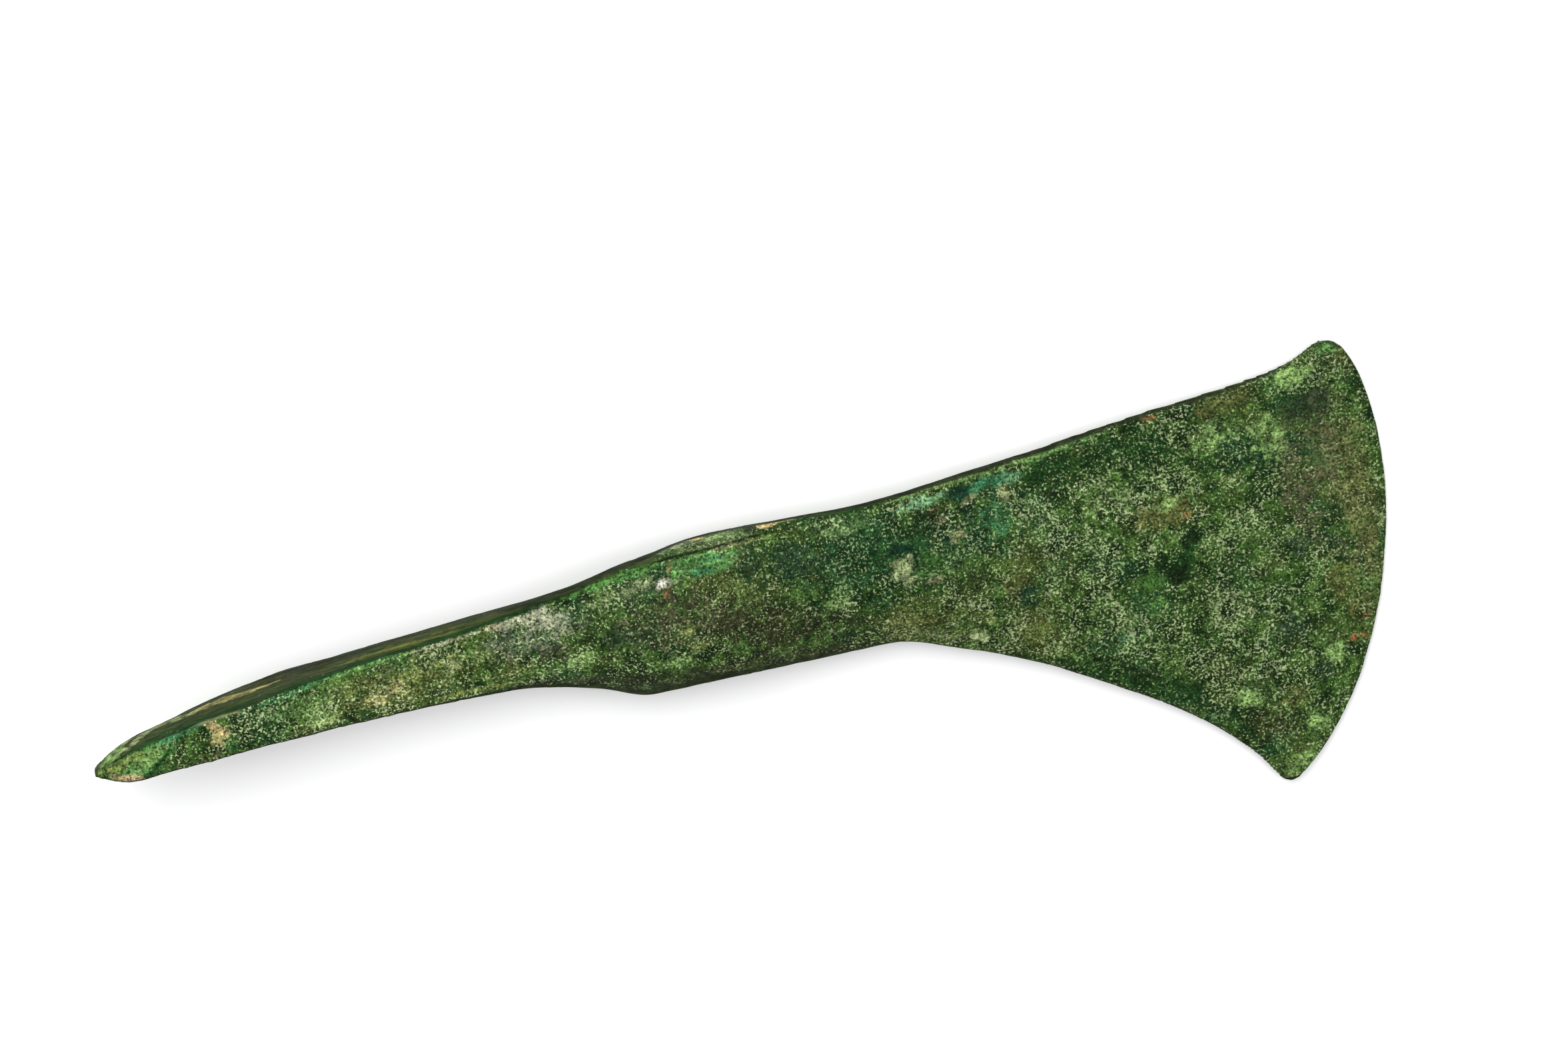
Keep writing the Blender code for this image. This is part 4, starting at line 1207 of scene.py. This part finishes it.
class AXE_OT_skin(bpy.types.Operator):
    """Make the axe head's corroded skin and give it its patina"""

    bl_idname = "axe_head.make_skin"
    bl_label = "Make corroded skin"

    def execute(self, context):
        scene = context.scene
        mesh = corroded_skin(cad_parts["axe_head"], scene.axe_corrosion)
        mesh.name = "patinated_casting"
        mesh.materials.clear()
        mesh.materials.append(patina_material(scene.axe_patina))
        casting = new_object("patinated_casting", mesh)
        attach(casting, "root")
        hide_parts("axe_head")
        return {"FINISHED"}


def floor_material(settings):
    """A plain pale floor."""
    material = bpy.data.materials.new("pale_floor")
    material.use_nodes = True
    shader = material.node_tree.nodes["Principled BSDF"]
    shader.inputs["Base Color"].default_value = (*settings.floor_colour, 1.0)
    shader.inputs["Roughness"].default_value = FLOOR_ROUGHNESS
    shader.inputs["Specular IOR Level"].default_value = FLOOR_SPECULAR
    return material


def make_floor(settings):
    """A large round floor under the axe head."""
    disc = bmesh.new()
    bmesh.ops.create_circle(disc, cap_ends=True, segments=FLOOR_SIDES, radius=FLOOR_RADIUS)
    data = bpy.data.meshes.new("studio_floor")
    disc.to_mesh(data)
    disc.free()
    data.materials.append(floor_material(settings))
    return new_object("studio_floor", data)


def view_axes(settings):
    """The picture's right, its up and the way back to the camera, in the casting's frame."""
    tilt = settings.face_tilt
    rise = settings.haft_rise
    towards = Vector((0.0, math.sin(tilt), math.cos(tilt)))
    across = Vector((0.0, math.cos(tilt), -math.sin(tilt)))
    haft = Vector((1.0, 0.0, 0.0))
    right = haft * math.cos(rise) - across * math.sin(rise)
    up = haft * math.sin(rise) + across * math.cos(rise)
    return right, up, towards


def turned_to(right, up, towards):
    """A rotation whose own axes are these three."""
    return Matrix((right, up, towards)).transposed().to_4x4()


def make_camera(settings):
    """The camera at the photograph's angle."""
    right, up, towards = view_axes(settings)
    lens = bpy.data.cameras.new("studio_camera")
    lens.lens = settings.focal_length
    lens.sensor_width = SENSOR_WIDTH
    distance = settings.frame_width / MM * settings.focal_length / SENSOR_WIDTH
    lens.clip_start = CLIP_START
    spot = haft_place() @ (Vector(settings.aim) + towards * distance)
    camera = new_object("studio_camera", lens)
    camera.matrix_world = Matrix.Translation(spot) @ HAFT_TURN @ turned_to(right, up, towards)
    bpy.context.scene.camera = camera


def make_softbox(softbox, settings):
    """A square soft light, turned to the place that the camera looks at."""
    right, up, towards = view_axes(settings)
    ahead, above, nearer = softbox.direction
    away = HAFT_TURN @ (right * ahead + up * above + towards * nearer).normalized()
    lamp = bpy.data.lights.new(softbox.name, "AREA")
    lamp.shape = "SQUARE"
    lamp.size = softbox.size
    lamp.energy = softbox.watts
    box = new_object(softbox.name, lamp)
    box.location = haft_place() @ Vector(settings.aim) + away * softbox.distance
    box.rotation_euler = away.to_track_quat("Z", "Y").to_euler()


def make_world():
    """Even white light from all round."""
    world = bpy.data.worlds.new("studio_white")
    world.use_nodes = True
    back = world.node_tree.nodes["Background"]
    back.inputs["Color"].default_value = (1.0, 1.0, 1.0, 1.0)
    back.inputs["Strength"].default_value = WORLD_STRENGTH
    bpy.context.scene.world = world


class AXE_OT_studio(bpy.types.Operator):
    """Make the floor, the lights and the camera"""

    bl_idname = "axe_head.make_studio"
    bl_label = "Make studio"

    def execute(self, context):
        settings = context.scene.axe_studio
        make_floor(settings)
        make_camera(settings)
        for softbox in SOFTBOXES:
            make_softbox(softbox, settings)
        make_world()
        context.scene.view_settings.view_transform = "Standard"
        return {"FINISHED"}


class AXE_PT_panel(bpy.types.Panel):
    """Lists the axe head's settings"""

    bl_idname = "AXE_PT_panel"
    bl_label = "Bronze Axe Head"
    bl_space_type = "VIEW_3D"
    bl_region_type = "UI"
    bl_category = "Axe Head"

    def draw(self, context):
        scene = context.scene
        for title, group in (
            ("Corrosion", scene.axe_corrosion),
            ("Patina", scene.axe_patina),
            ("Studio", scene.axe_studio),
        ):
            box = self.layout.box()
            box.label(text=title)
            for name in group.bl_rna.properties.keys():
                if name not in ("rna_type", "name"):
                    box.prop(group, name)
        self.layout.operator(AXE_OT_skin.bl_idname)
        self.layout.operator(AXE_OT_studio.bl_idname)


CLASSES = (CorrosionSettings, PatinaSettings, StudioSettings, AXE_OT_skin, AXE_OT_studio, AXE_PT_panel)


def register():
    for item in CLASSES:
        bpy.utils.register_class(item)
    bpy.types.Scene.axe_corrosion = bpy.props.PointerProperty(type=CorrosionSettings)
    bpy.types.Scene.axe_patina = bpy.props.PointerProperty(type=PatinaSettings)
    bpy.types.Scene.axe_studio = bpy.props.PointerProperty(type=StudioSettings)


def unregister():
    del bpy.types.Scene.axe_studio
    del bpy.types.Scene.axe_patina
    del bpy.types.Scene.axe_corrosion
    for item in reversed(CLASSES):
        bpy.utils.unregister_class(item)


def main():
    register()
    bpy.ops.axe_head.make_skin()
    bpy.ops.axe_head.make_studio()


if __name__ == "__main__":
    main()
